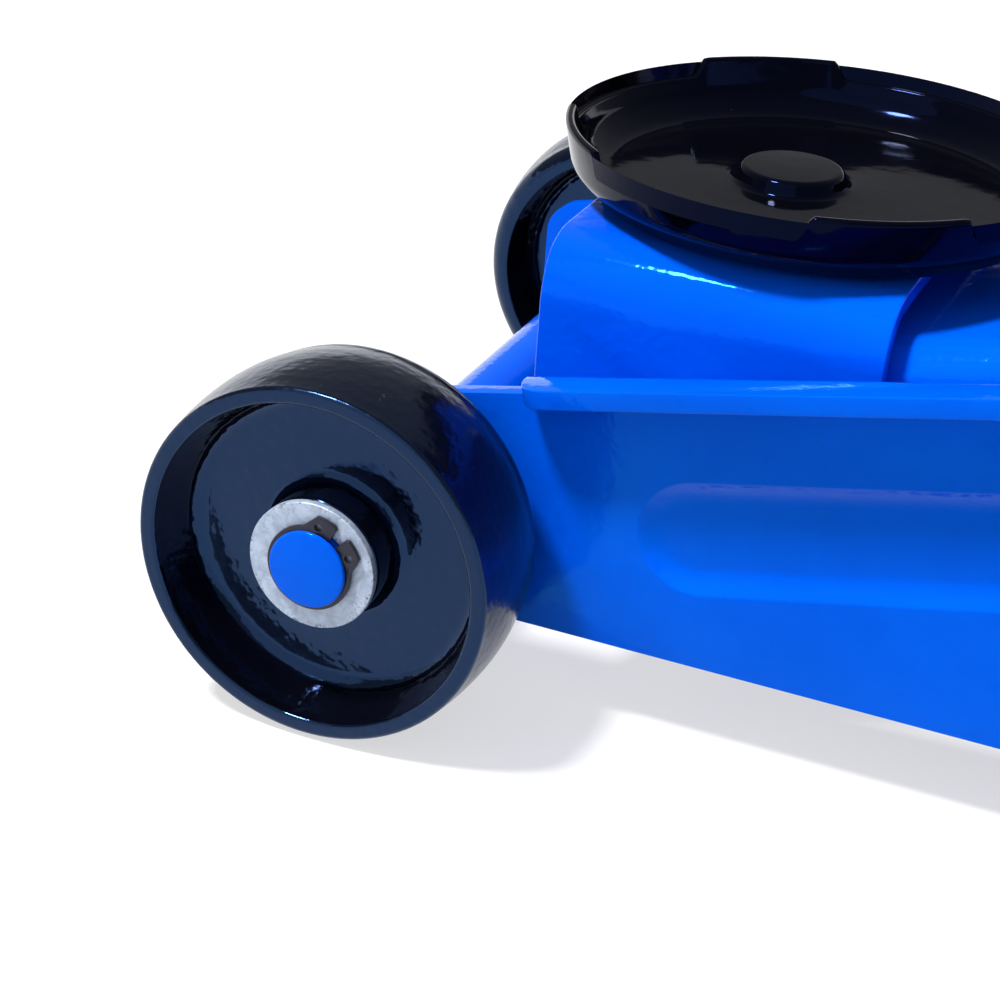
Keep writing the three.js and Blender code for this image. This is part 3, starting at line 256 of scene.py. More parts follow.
# the tight outline round two circles (x, z, radius)
def belt(first, second, degrees=8):
    (x1, z1, r1), (x2, z2, r2) = first, second
    run = Vector((x2 - x1, z2 - z1))
    heading = math.atan2(run.y, run.x)
    lean = math.acos((r1 - r2) / run.length)

    def arc(x, z, radius, start, end):
        steps = max(2, round(math.degrees(abs(end - start)) / degrees))
        return [Vector((x + radius * math.cos(a), z + radius * math.sin(a)))
                for a in (start + (end - start) * k / steps for k in range(steps + 1))]

    return (arc(x2, z2, r2, heading - lean, heading + lean)
            + arc(x1, z1, r1, heading + lean, heading + 2 * math.pi - lean))


# lathe work: corners of (radius, distance, rounding) spun about an axis; off the axis they make a ring
def turned(name, corners, centre, axis, steps=96, degrees=10):
    piece = begin(name)
    ring = corners[0][0] > 0
    profile = eased(corners, ring, degrees)
    draw(onPlane(profile, centre, axis.orthogonal().normalized(), axis), ring)
    bpy.ops.mesh.select_all(action="SELECT")
    bpy.ops.mesh.spin(steps=steps, angle=2 * math.pi, center=centre, axis=axis)
    tidyMesh()
    return smooth(piece, 30)


def onPlane(points, origin, across, up):
    return [origin + across * p[0] + up * p[1] for p in points]


# flat outlines filled and given a thickness; an outline inside another is a hole
def slab(name, outlines, origin, across, up, thickness):
    piece = begin(name)
    for outline in outlines:
        draw(onPlane(outline, origin, across, up), closed=True)
    tidyMesh(outwards=False)
    if len(outlines) > 1:
        bpy.ops.mesh.fill(use_beauty=True)
    else:
        bpy.ops.mesh.edge_face_add()
    bpy.ops.mesh.select_all(action="SELECT")
    pull(thickness)
    tidyMesh()
    deselect()
    return piece


# one solid from outlines that overlap
def slabOfAll(name, outlines, *place):
    piece, *others = [slab(name, [outline], *place) for outline in outlines]
    for other in others:
        trimmed(piece, other, "UNION")
    return piece


# sheet metal folded along forwards: an open profile pulled out, then thickened away from the outer skin
def folded(name, profile, origin, up, length, wall, inside):
    piece = begin(name)
    draw(onPlane(profile, origin, leftwards, up))
    bpy.ops.mesh.select_all(action="SELECT")
    pull(length)
    bpy.ops.object.mode_set(mode="OBJECT")
    face = piece.data.polygons[0]
    if face.normal.dot(face.center - inside) < 0:
        edit(piece)
        bpy.ops.mesh.flip_normals()
    modified(piece, "SOLIDIFY", thickness=wall, offset=-1, use_even_offset=True)
    return piece


def bored(piece, point, radius, half, axis=leftwards):
    across, up = (forwards, upwards) if axis == leftwards else (forwards, leftwards)
    drill = slab("drill", [circle(radius, 40)], point - axis * half, across, up, axis * 2 * half)
    return trimmed(piece, drill)


def boredFor(piece, bar, half):
    return bored(piece, middle(bar), boreFor(bar), half)


def mirrored(piece, name):
    other = bpy.data.objects.new(name, piece.data.copy())
    bpy.context.scene.collection.objects.link(other)
    edit(other)
    bpy.ops.transform.resize(value=(1, -1, 1), center_override=(0, 0, 0))
    bpy.ops.mesh.flip_normals()
    deselect()
    return other


# materials

class Wire:
    # a node's output, so that sums of masks and textures read as plain Python
    def __init__(self, board, socket):
        self.board = board
        self.socket = socket

    def maths(self, operation, first, second):
        return self.board.add("ShaderNodeMath", {"operation": operation}, {0: first, 1: second})

    def __add__(self, other):
        return self.maths("ADD", self, other)

    def __sub__(self, other):
        return self.maths("SUBTRACT", self, other)

    def __rsub__(self, other):
        return self.maths("SUBTRACT", other, self)

    def __mul__(self, other):
        return self.maths("MULTIPLY", self, other)

    def __pow__(self, other):
        return self.maths("POWER", self, other)

    def __lt__(self, other):
        return self.maths("LESS_THAN", self, other)

    __radd__ = __add__
    __rmul__ = __mul__


class Finish:
    def __init__(self, name):
        self.material = bpy.data.materials.new(name)
        self.material.use_nodes = True
        self.tree = self.material.node_tree
        self.shader = self.tree.nodes["Principled BSDF"]

    def feed(self, socket, value):
        if isinstance(value, Wire):
            self.tree.links.new(value.socket, socket)
        else:
            socket.default_value = value

    def add(self, kind, settings=None, inputs=None, output=0):
        node = self.tree.nodes.new(kind)
        for key, value in (settings or {}).items():
            if key == "stops":
                while len(node.color_ramp.elements) < len(value):
                    node.color_ramp.elements.new(0.5)
                for element, (position, shade) in zip(node.color_ramp.elements, value):
                    element.position = position
                    element.color = (*shade, 1) if isinstance(shade, tuple) else (shade, shade, shade, 1)
            else:
                setattr(node, key, value)
        for key, value in (inputs or {}).items():
            self.feed(node.inputs[key], value)
        return Wire(self, node.outputs[output])

    def done(self, values):
        for key, value in values.items():
            self.feed(self.shader.inputs[key], value)
        return self.material

    # a glossy coat of paint, with its look's own gloss and waves
    def coat(self, look, colour, roughness):
        return self.done({
            "Base Color": colour,
            "Roughness": roughness + look["roughness"],
            "Specular IOR Level": look["gloss"],
            "Specular Tint": look["shine"],
            "Normal": orangePeel(self, look["wave"], look["depth"], look["fineDepth"])})

    def coordinates(self, stretch=None):
        place = self.add("ShaderNodeTexCoord", output=3)
        if stretch is None:
            return place
        return self.add("ShaderNodeMapping", {"vector_type": "POINT"}, {"Vector": place, "Scale": stretch})

    def noise(self, size, detail=2.0, rough=0.5, stretch=None, distortion=0.0):
        return self.add("ShaderNodeTexNoise", {"noise_dimensions": "3D"}, {
            "Vector": self.coordinates(stretch), "Scale": 1 / size, "Detail": detail,
            "Roughness": rough, "Distortion": distortion})

    def cells(self, size, output=0):
        return self.add("ShaderNodeTexVoronoi", {"feature": "F1"},
                        {"Vector": self.coordinates(), "Scale": 1 / size}, output=output)

    def ramp(self, value, low, high):
        return self.add("ShaderNodeMapRange", {"clamp": True, "interpolation_type": "SMOOTHSTEP"},
                        {0: value, 1: low, 2: high, 3: 0.0, 4: 1.0})

    def mix(self, mask, first, second):
        colour = [(*c, 1) if isinstance(c, tuple) else c for c in (first, second)]
        inputs = {0: mask, 6: colour[0], 7: colour[1]}
        return self.add("ShaderNodeMix", {"data_type": "RGBA"}, inputs, output=2)

    def bump(self, height, strength, distance, under=None):
        inputs = {"Height": height, "Strength": strength, "Distance": distance}
        if under is not None:
            inputs["Normal"] = under
        return self.add("ShaderNodeBump", None, inputs)

    # scattered round grains: the nearness to a random point, kept only in some of the cells
    def specks(self, size, share, radius=0.16):
        near = 1 - self.ramp(self.cells(size), radius * 0.5, radius)
        chosen = self.add("ShaderNodeSeparateColor", None, {0: self.cells(size, output=1)})
        return near * (chosen < share)

    # distance from an axis line through a point, along leftwards
    def radiusAbout(self, centre):
        parts = [self.add("ShaderNodeSeparateXYZ", None, {0: self.coordinates()}, output=k) for k in (0, 2)]
        dx, dz = parts[0] - centre.x, parts[1] - centre.z
        return (dx * dx + dz * dz) ** 0.5


# a sprayed gloss coat dries with shallow waves; both heights are real ones
def orangePeel(finish, wave, depth, fineDepth):
    slow = finish.noise(wave, 1.0, 0.4)
    fine = finish.noise(wave * 0.28, 2.0, 0.5)
    first = finish.bump(slow, 1.0, depth)
    return finish.bump(fine, 1.0, fineDepth, first)


bluePaintLook = {
    "deep": (0.0, 0.090, 0.80),
    "bright": (0.0, 0.112, 0.90),
    "grime": (0.0, 0.05, 0.42),
    "dust": (0.10, 0.40, 0.95),
    "shine": (0.03, 0.75, 1.0, 1),
    "gloss": 0.30,
    "roughness": 0.09,
    "wave": 2.0 * mm,
    "depth": 0.08 * mm,
    "fineDepth": 0.008 * mm,
}


def makeBluePaint():
    finish = Finish("bluePaint")
    look = bluePaintLook
    cloud = finish.noise(38 * mm, 3, 0.55)
    grime = finish.ramp(finish.noise(4 * mm, 4, 0.6), 0.58, 0.78)
    dust = finish.specks(1.6 * mm, 0.05, 0.08)
    paint = finish.mix(finish.ramp(cloud, 0.3, 0.7), look["deep"], look["bright"])
    paint = finish.mix(grime * 0.10, paint, look["grime"])
    return finish.coat(look, finish.mix(dust * 0.25, paint, look["dust"]), grime * 0.06 + dust * 0.2)


blackEnamelLook = {
    "base": (0.0012, 0.0014, 0.0035),
    "shine": (0.17, 0.40, 1.0, 1),
    "gloss": 0.9,
    "roughness": 0.09,
    "wave": 2.4 * mm,
    "depth": 0.13 * mm,
    "fineDepth": 0.008 * mm,
    "dust": (0.30, 0.36, 0.46),
}
castEnamelLook = {
    **blackEnamelLook,
    "shine": (0.12, 0.25, 1.0, 1),
    "gloss": 0.16,
    "roughness": 0.07,
    "wave": 5.0 * mm,
    "depth": 0.05 * mm,
    "fineDepth": 0.004 * mm,
}


# the tread and corner of a wheel carry fine dust and scuffs that its recess doesn't
def makeBlackEnamel(name, look, scuffs=None):
    finish = Finish(name)
    dust = finish.specks(1.3 * mm, 0.05, 0.07) * 0.35
    patches = finish.ramp(finish.noise(11 * mm, 4, 0.6), 0.46, 0.70)
    wear, worn = dust, 0.0
    if scuffs:
        centre, inner = scuffs
        tread = finish.ramp(finish.radiusAbout(centre), inner - 0.6 * mm, inner + 0.5 * mm)
        grains = finish.specks(0.62 * mm, 0.30, 0.12) * 0.5 + finish.specks(1.5 * mm, 0.16, 0.06)
        scrape = finish.ramp(finish.noise(0.9 * mm, 4, 0.7), 0.60, 0.70)
        rub = finish.ramp(finish.noise(8 * mm, 3, 0.6), 0.60, 0.72)
        wear = dust + tread * (grains * (0.06 + patches * 0.4) + scrape * rub * 0.3)
        worn = tread * 0.10
    colour = finish.mix(wear * 0.7, look["base"], look["dust"])
    return finish.coat(look, colour, patches * 0.03 + wear * 0.5 + worn)


zincLook = {"pale": (0.52, 0.61, 0.76), "dull": (0.34, 0.41, 0.55), "stain": (0.035, 0.04, 0.06)}


# soft pale plating with fine dark stains that gather where a ring was gripped
def makeZinc(name="zinc", ring=None):
    finish = Finish(name)
    look = zincLook
    mottle = finish.noise(3.0 * mm, 5, 0.7, distortion=0.5)
    fleck = finish.ramp(finish.noise(0.55 * mm, 4, 0.75), 0.54, 0.60)
    where = finish.ramp(finish.noise(4.5 * mm, 3, 0.6), 0.50, 0.66)
    if ring:
        centre, inner, outer = ring
        away = finish.radiusAbout(centre)
        rims = finish.ramp(away, outer - 1.6 * mm, outer) + (1 - finish.ramp(away, inner, inner + 1.2 * mm))
        where = where * 0.35 + rims * finish.ramp(finish.noise(3 * mm, 3, 0.6), 0.44, 0.6)
    shade = finish.mix(finish.ramp(mottle, 0.35, 0.65), look["dull"], look["pale"])
    return finish.done({
        "Base Color": finish.mix(fleck * where * 0.95, shade, look["stain"]),
        "Metallic": 0.35,
        "Roughness": 0.44 + finish.ramp(mottle, 0.3, 0.7) * 0.14,
        "Normal": finish.bump(mottle, 0.5, 0.03 * mm)})


def makeSteel(name, base, roughness, grain=(1, 0.06, 1), metallic=1.0):
    finish = Finish(name)
    brush = finish.noise(0.35 * mm, 3, 0.6, grain)
    smear = finish.noise(14 * mm, 4, 0.6)
    dark = tuple(c * 0.86 for c in base)
    return finish.done({
        "Base Color": finish.mix(finish.ramp(smear, 0.35, 0.7), base, dark),
        "Metallic": metallic,
        "Roughness": roughness + finish.ramp(smear, 0.4, 0.7) * 0.12,
        "Normal": finish.bump(brush, 0.6, 0.010 * mm)})


def makeCasting():
    finish = Finish("casting")
    sand = finish.noise(0.8 * mm, 4, 0.65)
    oil = finish.ramp(finish.noise(18 * mm, 4, 0.6), 0.48, 0.68)
    return finish.done({
        "Base Color": finish.mix(oil * 0.7, (0.075, 0.08, 0.09), (0.03, 0.03, 0.033)),
        "Metallic": 0.2,
        "Roughness": 0.55 - oil * 0.2,
        "Normal": finish.bump(sand, 0.8, 0.10 * mm)})


def makeRubber(name, base, roughness, size):
    finish = Finish(name)
    grain = finish.noise(size, 3, 0.6)
    wear = finish.ramp(finish.noise(12 * mm, 4, 0.6), 0.5, 0.7)
    return finish.done({
        "Base Color": finish.mix(wear * 0.5, base, tuple(c * 1.8 + 0.004 for c in base)),
        "Roughness": roughness + wear * 0.08,
        "Specular IOR Level": 0.35,
        "Normal": finish.bump(grain, 0.6, 0.03 * mm)})


stage("materials")
wheelCentre = middle("front_wheel_left")
wheelRadius = extent("front_wheel_left").z / 2
bluePaint = makeBluePaint()
castEnamel = makeBlackEnamel("castEnamel", castEnamelLook)
wheelEnamel = makeBlackEnamel("wheelEnamel", blackEnamelLook, (wheelCentre, wheelRadius - 1.6 * mm))
zinc = makeZinc()
washerZinc = makeZinc("washerZinc", (wheelCentre, 8.5 * mm, extent("front_washer_left").z / 2))
brightSteel = makeSteel("brightSteel", (0.52, 0.53, 0.55), 0.24)
chromeTube = makeSteel("chromeTube", (0.44, 0.45, 0.47), 0.16, (0.06, 1, 1))
springSteel = makeSteel("springSteel", (0.030, 0.030, 0.045), 0.34, (1, 1, 1), 0.6)
casting = makeCasting()
nylon = makeRubber("nylon", (0.012, 0.012, 0.014), 0.42, 0.5 * mm)
gripRubber = makeRubber("gripRubber", (0.010, 0.010, 0.011), 0.68, 0.3 * mm)


# fitting a piece: the finish, the node it stands for, and that node's body

bodyOf = {node: body for body, nodes in frame["record"]["behaviour"]["bodies"].items() for node in nodes}


def fitted(piece, node, material, rides=True):
    deselect()
    piece.data.materials.clear()
    piece.data.materials.append(material)
    if rides:
        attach(piece, bodyOf[node])
    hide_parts(node)
    return piece


def titled(node):
    return node.replace("_", ".")


# front axle, wheels and what holds them

frontWheelShape = {
    "mouth": 33.8 * mm,      # inner edge of the face ring
    "recess": 31.2 * mm,     # foot of the recess wall
    "recessDepth": 12.4 * mm,
    "web": 4.2 * mm,
    "hub": 13.2 * mm,
    "hubSetback": 3.5 * mm,
    "crown": 0.9 * mm,       # fall of the tread to its outer corner
    "backCrown": 1.6 * mm,   # and to its inner one
    "corner": 1.0 * mm,
    "backCorner": 4.2 * mm,
    "fillet": 3.6 * mm,
}


def frontWheel(side, sign):
    s = frontWheelShape
    node = f"front_wheel_{side}"
    width, radius = extent(node).y, extent(node).z / 2
    bore = boreFor("front_axle")
    back = s["recessDepth"] + s["web"]
    tread = []
    for k in range(13):
        share = k / 6 - 1
        across = s["corner"] + (share + 1) / 2 * (width - s["corner"] - s["backCorner"])
        tread.append((radius - s["crown" if share < 0 else "backCrown"] * share ** 2, across))
    profile = eased([
        (bore, s["hubSetback"]),
        (s["hub"], s["hubSetback"], 1.0 * mm),
        (s["hub"], s["recessDepth"], 2.6 * mm),
        (s["recess"], s["recessDepth"], s["fillet"]),
        (s["mouth"], 0, 0.8 * mm),
        (radius - s["crown"], 0, s["corner"] * 0.95),
        tread[0]])
    profile += tread[1:-1]
    profile += eased([
        tread[-1],
        (radius - s["backCrown"], width, s["backCorner"] * 0.95),
        (s["recess"], width, 0.5 * mm),
        (s["recess"] - 2 * mm, back, s["fillet"]),
        (s["hub"], back, 2.4 * mm),
        (s["hub"], width, 0.9 * mm),
        (bore, width)])
    face = middle(node) + leftwards * sign * width / 2
    piece = turned(f"frontWheel.{side}", profile, face, leftwards * -sign, 128)
    return fitted(piece, node, wheelEnamel)


axleShape = {"chamfer": 0.4 * mm, "clipSeat": 7.0 * mm}


def frontAxle():
    s = axleShape
    radius, half = radiusOf("front_axle"), extent("front_axle").y / 2
    low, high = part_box("front_clip_left")
    centre = middle("front_axle")
    grooveFrom, grooveTo = low.y - centre.y - 0.2 * mm, high.y - centre.y + 0.2 * mm
    end = eased([
        (radius, grooveFrom), (s["clipSeat"], grooveFrom), (s["clipSeat"], grooveTo), (radius, grooveTo),
        (radius, half, s["chamfer"]), (0, half)], degrees=18)
    piece = turned("frontAxle", bothWays(end), centre, leftwards, 72)
    return fitted(piece, "front_axle", bluePaint)


ringEdge = {"washer": 0.3 * mm, "spacer": 0.4 * mm}


# a plain ring that stands for a node: its outside from the node, its bore from the bar it goes on
def ringPiece(name, node, bar, edge, axis=leftwards):
    low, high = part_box(node)
    width = (high - low).dot(axis)
    outer = max(extent(node).x, extent(node).z) / 2
    inner = boreFor(bar)
    corners = [(inner, 0, edge), (outer, 0, edge), (outer, width, edge), (inner, width, edge)]
    return turned(name, corners, middle(node) - axis * width / 2, axis, 80)


clipShape = {
    "seat": 0.5 * mm,      # how far it reaches into the axle's groove
    "rise": 0.8 * mm,
    "lugRise": 3.5 * mm,
    "lugCorner": 0.6 * mm,
    "gapAt": 127.5,        # degrees from ahead towards up; the next angles run from here
    "gapHalf": 6.5,
    "lugHalf": 30,
    "shoulder": 48,
    "eyeAt": 26,
    "eye": 0.8 * mm,
    "eyeRing": 9.3 * mm,
    "edge": 0.12 * mm,
}


def frontClip(side, sign):
    s = clipShape
    node = f"front_clip_{side}"
    bar = radiusOf("front_axle")
    low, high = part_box(node)
    thickness = high.y - low.y
    origin = Vector((wheelCentre.x, low.y if sign > 0 else high.y, wheelCentre.z))
    across = forwards * sign

    def at(radius, angle):
        turn = math.radians(s["gapAt"] + angle)
        return Vector((radius * math.cos(turn), radius * math.sin(turn)))

    def arc(radius, start, end, steps):
        return [at(radius, start + (end - start) * k / steps) for k in range(steps + 1)]

    inner, outer, reach = bar - s["seat"], bar + s["rise"], bar + s["lugRise"]
    gap, lug, shoulder = s["gapHalf"], s["lugHalf"], s["shoulder"]
    outline = [at(inner, gap), at(reach - s["lugCorner"], gap), *arc(reach, gap + 3, lug, 6),
               *arc(outer, shoulder, 360 - shoulder, 60), *arc(reach, 360 - lug, 357 - gap, 6),
               at(reach - s["lugCorner"], 360 - gap), *arc(inner, 360 - gap, gap, 72)[:-1]]
    step = leftwards * sign * thickness
    piece = slab(f"frontClip.{side}", [outline], origin, across, upwards, step)
    for angle in (-s["eyeAt"], s["eyeAt"]):
        hole = circle(s["eye"], 18, at(s["eyeRing"], angle))
        trimmed(piece, slab("eye", [hole], origin - step, across, upwards, step * 3))
    softEdges(piece, s["edge"], 2)
    return fitted(piece, node, springSteel)


stage("front axle and wheels")
frontAxle()
for side, sign in sides.items():
    frontWheel(side, sign)
    for kind, material in (("washer", washerZinc), ("spacer", zinc)):
        node = f"front_{kind}_{side}"
        ring = ringPiece(f"front{kind.title()}.{side}", node, "front_axle", ringEdge[kind])
        fitted(ring, node, material)
    frontClip(side, sign)


# side plates

plateShape = {
    "wall": 4.0 * mm,
    "outer": 66.0 * mm,       # centre plane to the outer face
    "ahead": 17.5 * mm,       # front edge, ahead of the axle
    "bottom": -19.8 * mm,     # heights are over the axle
    "edge": 23.9 * mm,        # bare top edge at the axle
    "rise": 0.2163,
    "crest": 335.0 * mm,      # behind the axle, as are the next ones
    "crestFall": 0.05,
    "lipFront": 30.0 * mm,
    "lipRear": 396.0 * mm,
    "heel": 366.0 * mm,
    "arch": 400.0 * mm,
    "rear": 480.0 * mm,
    "archHeight": 23.3 * mm,
    "rearTop": 62.0 * mm,
    "earReach": 16.0 * mm,
    "overhang": 8.7 * mm,
    "bend": 2.0 * mm,         # inside radius of the lip's bend
    "lipCorner": 6.0 * mm,
    "lipRound": 1.85 * mm,
    "recessFront": 54.0 * mm,
    "recessRear": 262.0 * mm,
    "recessHalf": 12.0 * mm,
    "recessDrop": 18.2 * mm,
    "recessDepth": 2.2 * mm,
    "recessSlope": 5.2 * mm,
    "crisp": 0.25 * mm,
    "studBehind": 385.0 * mm,
    "studHeight": 57.0 * mm,
    "stud": 3.5 * mm,
    "studHead": 5.0 * mm,
    "studFrom": 47.0 * mm,    # its head, out from the centre plane
    "studLength": 16.0 * mm,
}


def plateEdge(behind):
    s = plateShape
    top = wheelCentre.z + s["edge"] + s["rise"] * min(behind, s["crest"])
    return top - s["crestFall"] * max(0, behind - s["crest"])


# the two ends of the recess as (x, z) centres of its round ends
def recessEnds():
    s = plateShape
    places = (s["recessFront"] + s["recessHalf"], s["recessRear"] - s["recessHalf"])
    return [Vector((wheelCentre.x - b, plateEdge(b) - s["recessDrop"] - s["recessHalf"])) for b in places]


def inRecess(point, reach):
    front, rear = recessEnds()
    run = rear - front
    share = min(1, max(0, (Vector((point.x, point.z)) - front).dot(run) / run.length_squared))
    return (Vector((point.x, point.z)) - front - run * share).length < reach


def lipLine():
    s = plateShape
    turnings = [(s["lipFront"], 0), (s["crest"], 90 * mm), (s["lipRear"], 0)]
    return eased([(wheelCentre.x - b, plateEdge(b) - s["bend"], r) for b, r in turnings], degrees=2)


def plateOutline():
    s = plateShape
    axle, handle = wheelCentre, middle("socket_shaft")
    reach = s["earReach"]

    def corner(behind, height, radius):
        return (axle.x - behind, height, radius)

    return eased([
        corner(-s["ahead"], axle.z + s["bottom"], 15 * mm),
        corner(-s["ahead"], plateEdge(-s["ahead"]), 8 * mm),
        corner(s["lipFront"] - 0.4 * mm, plateEdge(s["lipFront"]), 0),
        *[(p.x, p.y) for p in lipLine()],
        (handle.x + reach, handle.z + reach, 10 * mm),
        (handle.x - reach, handle.z + reach, 15 * mm),
        corner(s["rear"], axle.z + s["rearTop"], 12 * mm),
        corner(s["rear"], axle.z + s["archHeight"], 4 * mm),
        corner(s["arch"], axle.z + s["archHeight"], 18 * mm),
        corner(s["heel"], axle.z + s["bottom"], 18 * mm)], closed=True, degrees=9)


def plateSheet():
    s = plateShape
    front, rear = recessEnds()
    reach = s["recessHalf"] + s["crisp"]
    bars = ["front_axle", "arm_shaft", "link_bolt_left", "socket_shaft", "cover_screw_left"]
    outlines = [plateOutline(), belt((*front, reach), (*rear, reach), 5)]
    outlines += [circle(boreFor(bar), 36, middle(bar).xz) for bar in bars]
    piece = begin("sidePlate.left")
    for outline in outlines:
        draw(onPlane(outline, leftwards * s["outer"], forwards, upwards), closed=True)
    tidyMesh(outwards=False)
    bpy.ops.mesh.fill(use_beauty=True)
    return piece


# the top edge is pulled round a bend and out into a lip with rounded corners
def turnOutLip(piece):
    s = plateShape
    line = lipLine()
    start, end = line[0].x + 0.01 * mm, line[-1].x - 0.01 * mm

    def onEdge(point, run):
        near = abs(point.z - plateEdge(wheelCentre.x - point.x) + s["bend"]) < 1.6 * mm
        return end < point.x < start and near and abs(run.z) < abs(run.x)

    pick(piece, onEdge, "EDGE")
    steps = 6
    last = Vector((0, 0, 0))
    for k in range(1, steps + 1):
        angle = math.pi / 2 * k / steps
        here = leftwards * s["bend"] * (1 - math.cos(angle)) + upwards * s["bend"] * math.sin(angle)
        pull(here - last)
        last = here
    pull(leftwards * (s["overhang"] - s["bend"]))
    free = s["outer"] + s["overhang"]

    def onCorner(point, normal):
        atEnd = min(abs(point.x - line[0].x), abs(point.x - line[-1].x)) < 0.02 * mm
        return atEnd and point.y > free - 0.1 * mm

    pick(piece, onCorner, "VERT")
    bpy.ops.mesh.bevel(affect="VERTICES", offset=s["lipCorner"], segments=7)


# pressed inwards: a crisp edge, then a slope that flattens out into the floor
def pressRecess(piece):
    s = plateShape
    reach = s["recessHalf"] + s["crisp"] + 0.05 * mm
    pick(piece, lambda point, run: point.y < s["outer"] + 0.01 * mm and inRecess(point, reach), "EDGE")
    bpy.ops.mesh.edge_face_add()
    bpy.ops.mesh.select_all(action="SELECT")
    bpy.ops.mesh.normals_make_consistent(inside=False)
    bpy.ops.object.mode_set(mode="OBJECT")
    facesIn = max(piece.data.polygons, key=lambda face: face.area).normal.y < 0
    bpy.ops.object.mode_set(mode="EDIT")
    if facesIn:
        bpy.ops.mesh.select_all(action="SELECT")
        bpy.ops.mesh.flip_normals()
    pick(piece, lambda point, normal: inRecess(point, s["recessHalf"] / 2) and abs(normal.y) > 0.9)
    bpy.ops.mesh.inset(thickness=s["crisp"], depth=0)
    steps = 12
    for k in range(steps):
        low, high = (math.sin(math.pi / 2 * j / steps) for j in (k, k + 1))
        bpy.ops.mesh.inset(thickness=s["recessSlope"] / steps, depth=(low - high) * s["recessDepth"])
    bpy.ops.mesh.inset(thickness=0.3 * mm, depth=0)


# the lip's free edge is rolled over into a bull nose, round its corners and down its ends
def roundLip(piece):
    s = plateShape

    def onNose(point, run):
        behind = wheelCentre.x - point.x
        edge = plateEdge(behind)
        if not s["lipFront"] - 0.5 * mm < behind < s["lipRear"] + 0.5 * mm:
            return False
        through = abs(run.y) > 0.9 * run.length and point.y < s["outer"] and point.z < edge + 0.3 * mm
        return point.z > edge - s["bend"] - 0.05 * mm and not through

    pick(piece, onNose, "EDGE", sharpEdges(piece, 50))
    bpy.ops.mesh.bevel(affect="EDGES", offset=s["lipRound"], segments=5, clamp_overlap=True)
    deselect()


# the stud that the return spring hangs on
def springStud():
    s = plateShape
    start = Vector((wheelCentre.x - s["studBehind"], s["studFrom"], s["studHeight"]))
    return turned("stud", [
        (0, 0), (s["studHead"], 0, 0.5 * mm), (s["studHead"], 1.5 * mm, 0.3 * mm),
        (s["stud"], 1.5 * mm, 0.2 * mm), (s["stud"], s["studLength"]), (0, s["studLength"])],
        start, leftwards, 40)


def sidePlate():
    s = plateShape
    piece = plateSheet()
    turnOutLip(piece)
    pressRecess(piece)
    deselect()
    modified(piece, "SOLIDIFY", thickness=s["wall"], offset=-1, use_even_offset=True)
    roundLip(piece)
    softEdges(piece, 0.9 * mm, 4, 50)
    trimmed(piece, springStud(), "UNION")
    return smooth(piece, 50)


stage("side plates")
plate = sidePlate()
fitted(mirrored(plate, "sidePlate.right"), "side_plate_right", bluePaint)
fitted(plate, "side_plate_left", bluePaint)


# saddle bracket

bracketShape = {
    "wall": 4.0 * mm,
    "bend": 15.0 * mm,
    "crease": (40, 60),       # degrees between which the bend is tight
    "creaseRound": 6.0 * mm,  # more than the wall, so that the inner skin doesn't fold over
    "half": 52.0 * mm,
    "cheekDepth": 36.0 * mm,
    "foot": 11.0 * mm,
    "stemHole": 10.3 * mm,
}


# the bend is two broad rounds that meet in a soft crease, from the cheek up to the top
def creasedBend(half, top):
    s = bracketShape
    lower, upper = (math.radians(angle) for angle in s["crease"])
    small, broad = s["creaseRound"], s["bend"]
    arcs = [(broad, 0, lower, 7), (small, lower, upper, 5), (broad, upper, math.pi / 2, 6)]
    run = [Vector((0, 0))]
    for radius, start, end, steps in arcs:
        for k in range(1, steps + 1):
            a, b = (start + (end - start) * j / steps for j in (k - 1, k))
            run.append(run[-1] + radius * Vector((math.cos(b) - math.cos(a), math.sin(b) - math.sin(a))))
    return [Vector((half, top - run[-1].y)) + point for point in run]


def saddleBracket():
    s = bracketShape
    low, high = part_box("saddle_bracket")
    linkPin, stem = middle("link_pin"), middle("saddle_retaining_ring")
    half, top, foot = s["half"], high.z, linkPin.z - s["foot"]
    bend = creasedBend(half, top)
    profile = [Vector((-p.x, p.y)) for p in bend] + list(reversed(bend))
    profile = [Vector((-half, foot - 4 * mm))] + profile + [Vector((half, foot - 4 * mm))]
    piece = folded("saddleBracket", profile, forwards * (high.x + mm), upwards,
                   forwards * (low.x - high.x - 2 * mm), s["wall"], upwards * (top - 30 * mm))
    outline = eased([
        (low.x, top + 5 * mm), (low.x, top - s["cheekDepth"], 14 * mm),
        (linkPin.x - s["foot"], foot, s["foot"] - mm), (linkPin.x + s["foot"], foot, s["foot"] - mm),
        (high.x, top - s["cheekDepth"], 14 * mm), (high.x, top + 5 * mm)], closed=True, degrees=8)
    reach = leftwards * (half + 5 * mm)
    trimmed(piece, slab("outline", [outline], -reach, forwards, upwards, reach * 2), "INTERSECT")
    boredFor(piece, "bracket_pin", 70 * mm)
    boredFor(piece, "link_pin", 70 * mm)
    bored(piece, Vector((stem.x, 0, top)), s["stemHole"], 9 * mm, upwards)
    softEdges(piece, 0.5 * mm, 3)
    return fitted(piece, "saddle_bracket", bluePaint)


stage("saddle bracket")
saddleBracket()


# lift arm

armShape = {
    "wall": 4.0 * mm,
    "bend": 8.0 * mm,
    "half": 46.5 * mm,
    "top": 21.0 * mm,        # above the line of its pivots
    "nose": 20.4 * mm,
    "boss": 24.0 * mm,
    "heelBoss": 12.0 * mm,
    "brace": 5.0 * mm,
    "braceShare": 0.52,      # of the way from the shaft to the nose
    "braceDrop": 6.0 * mm,
}


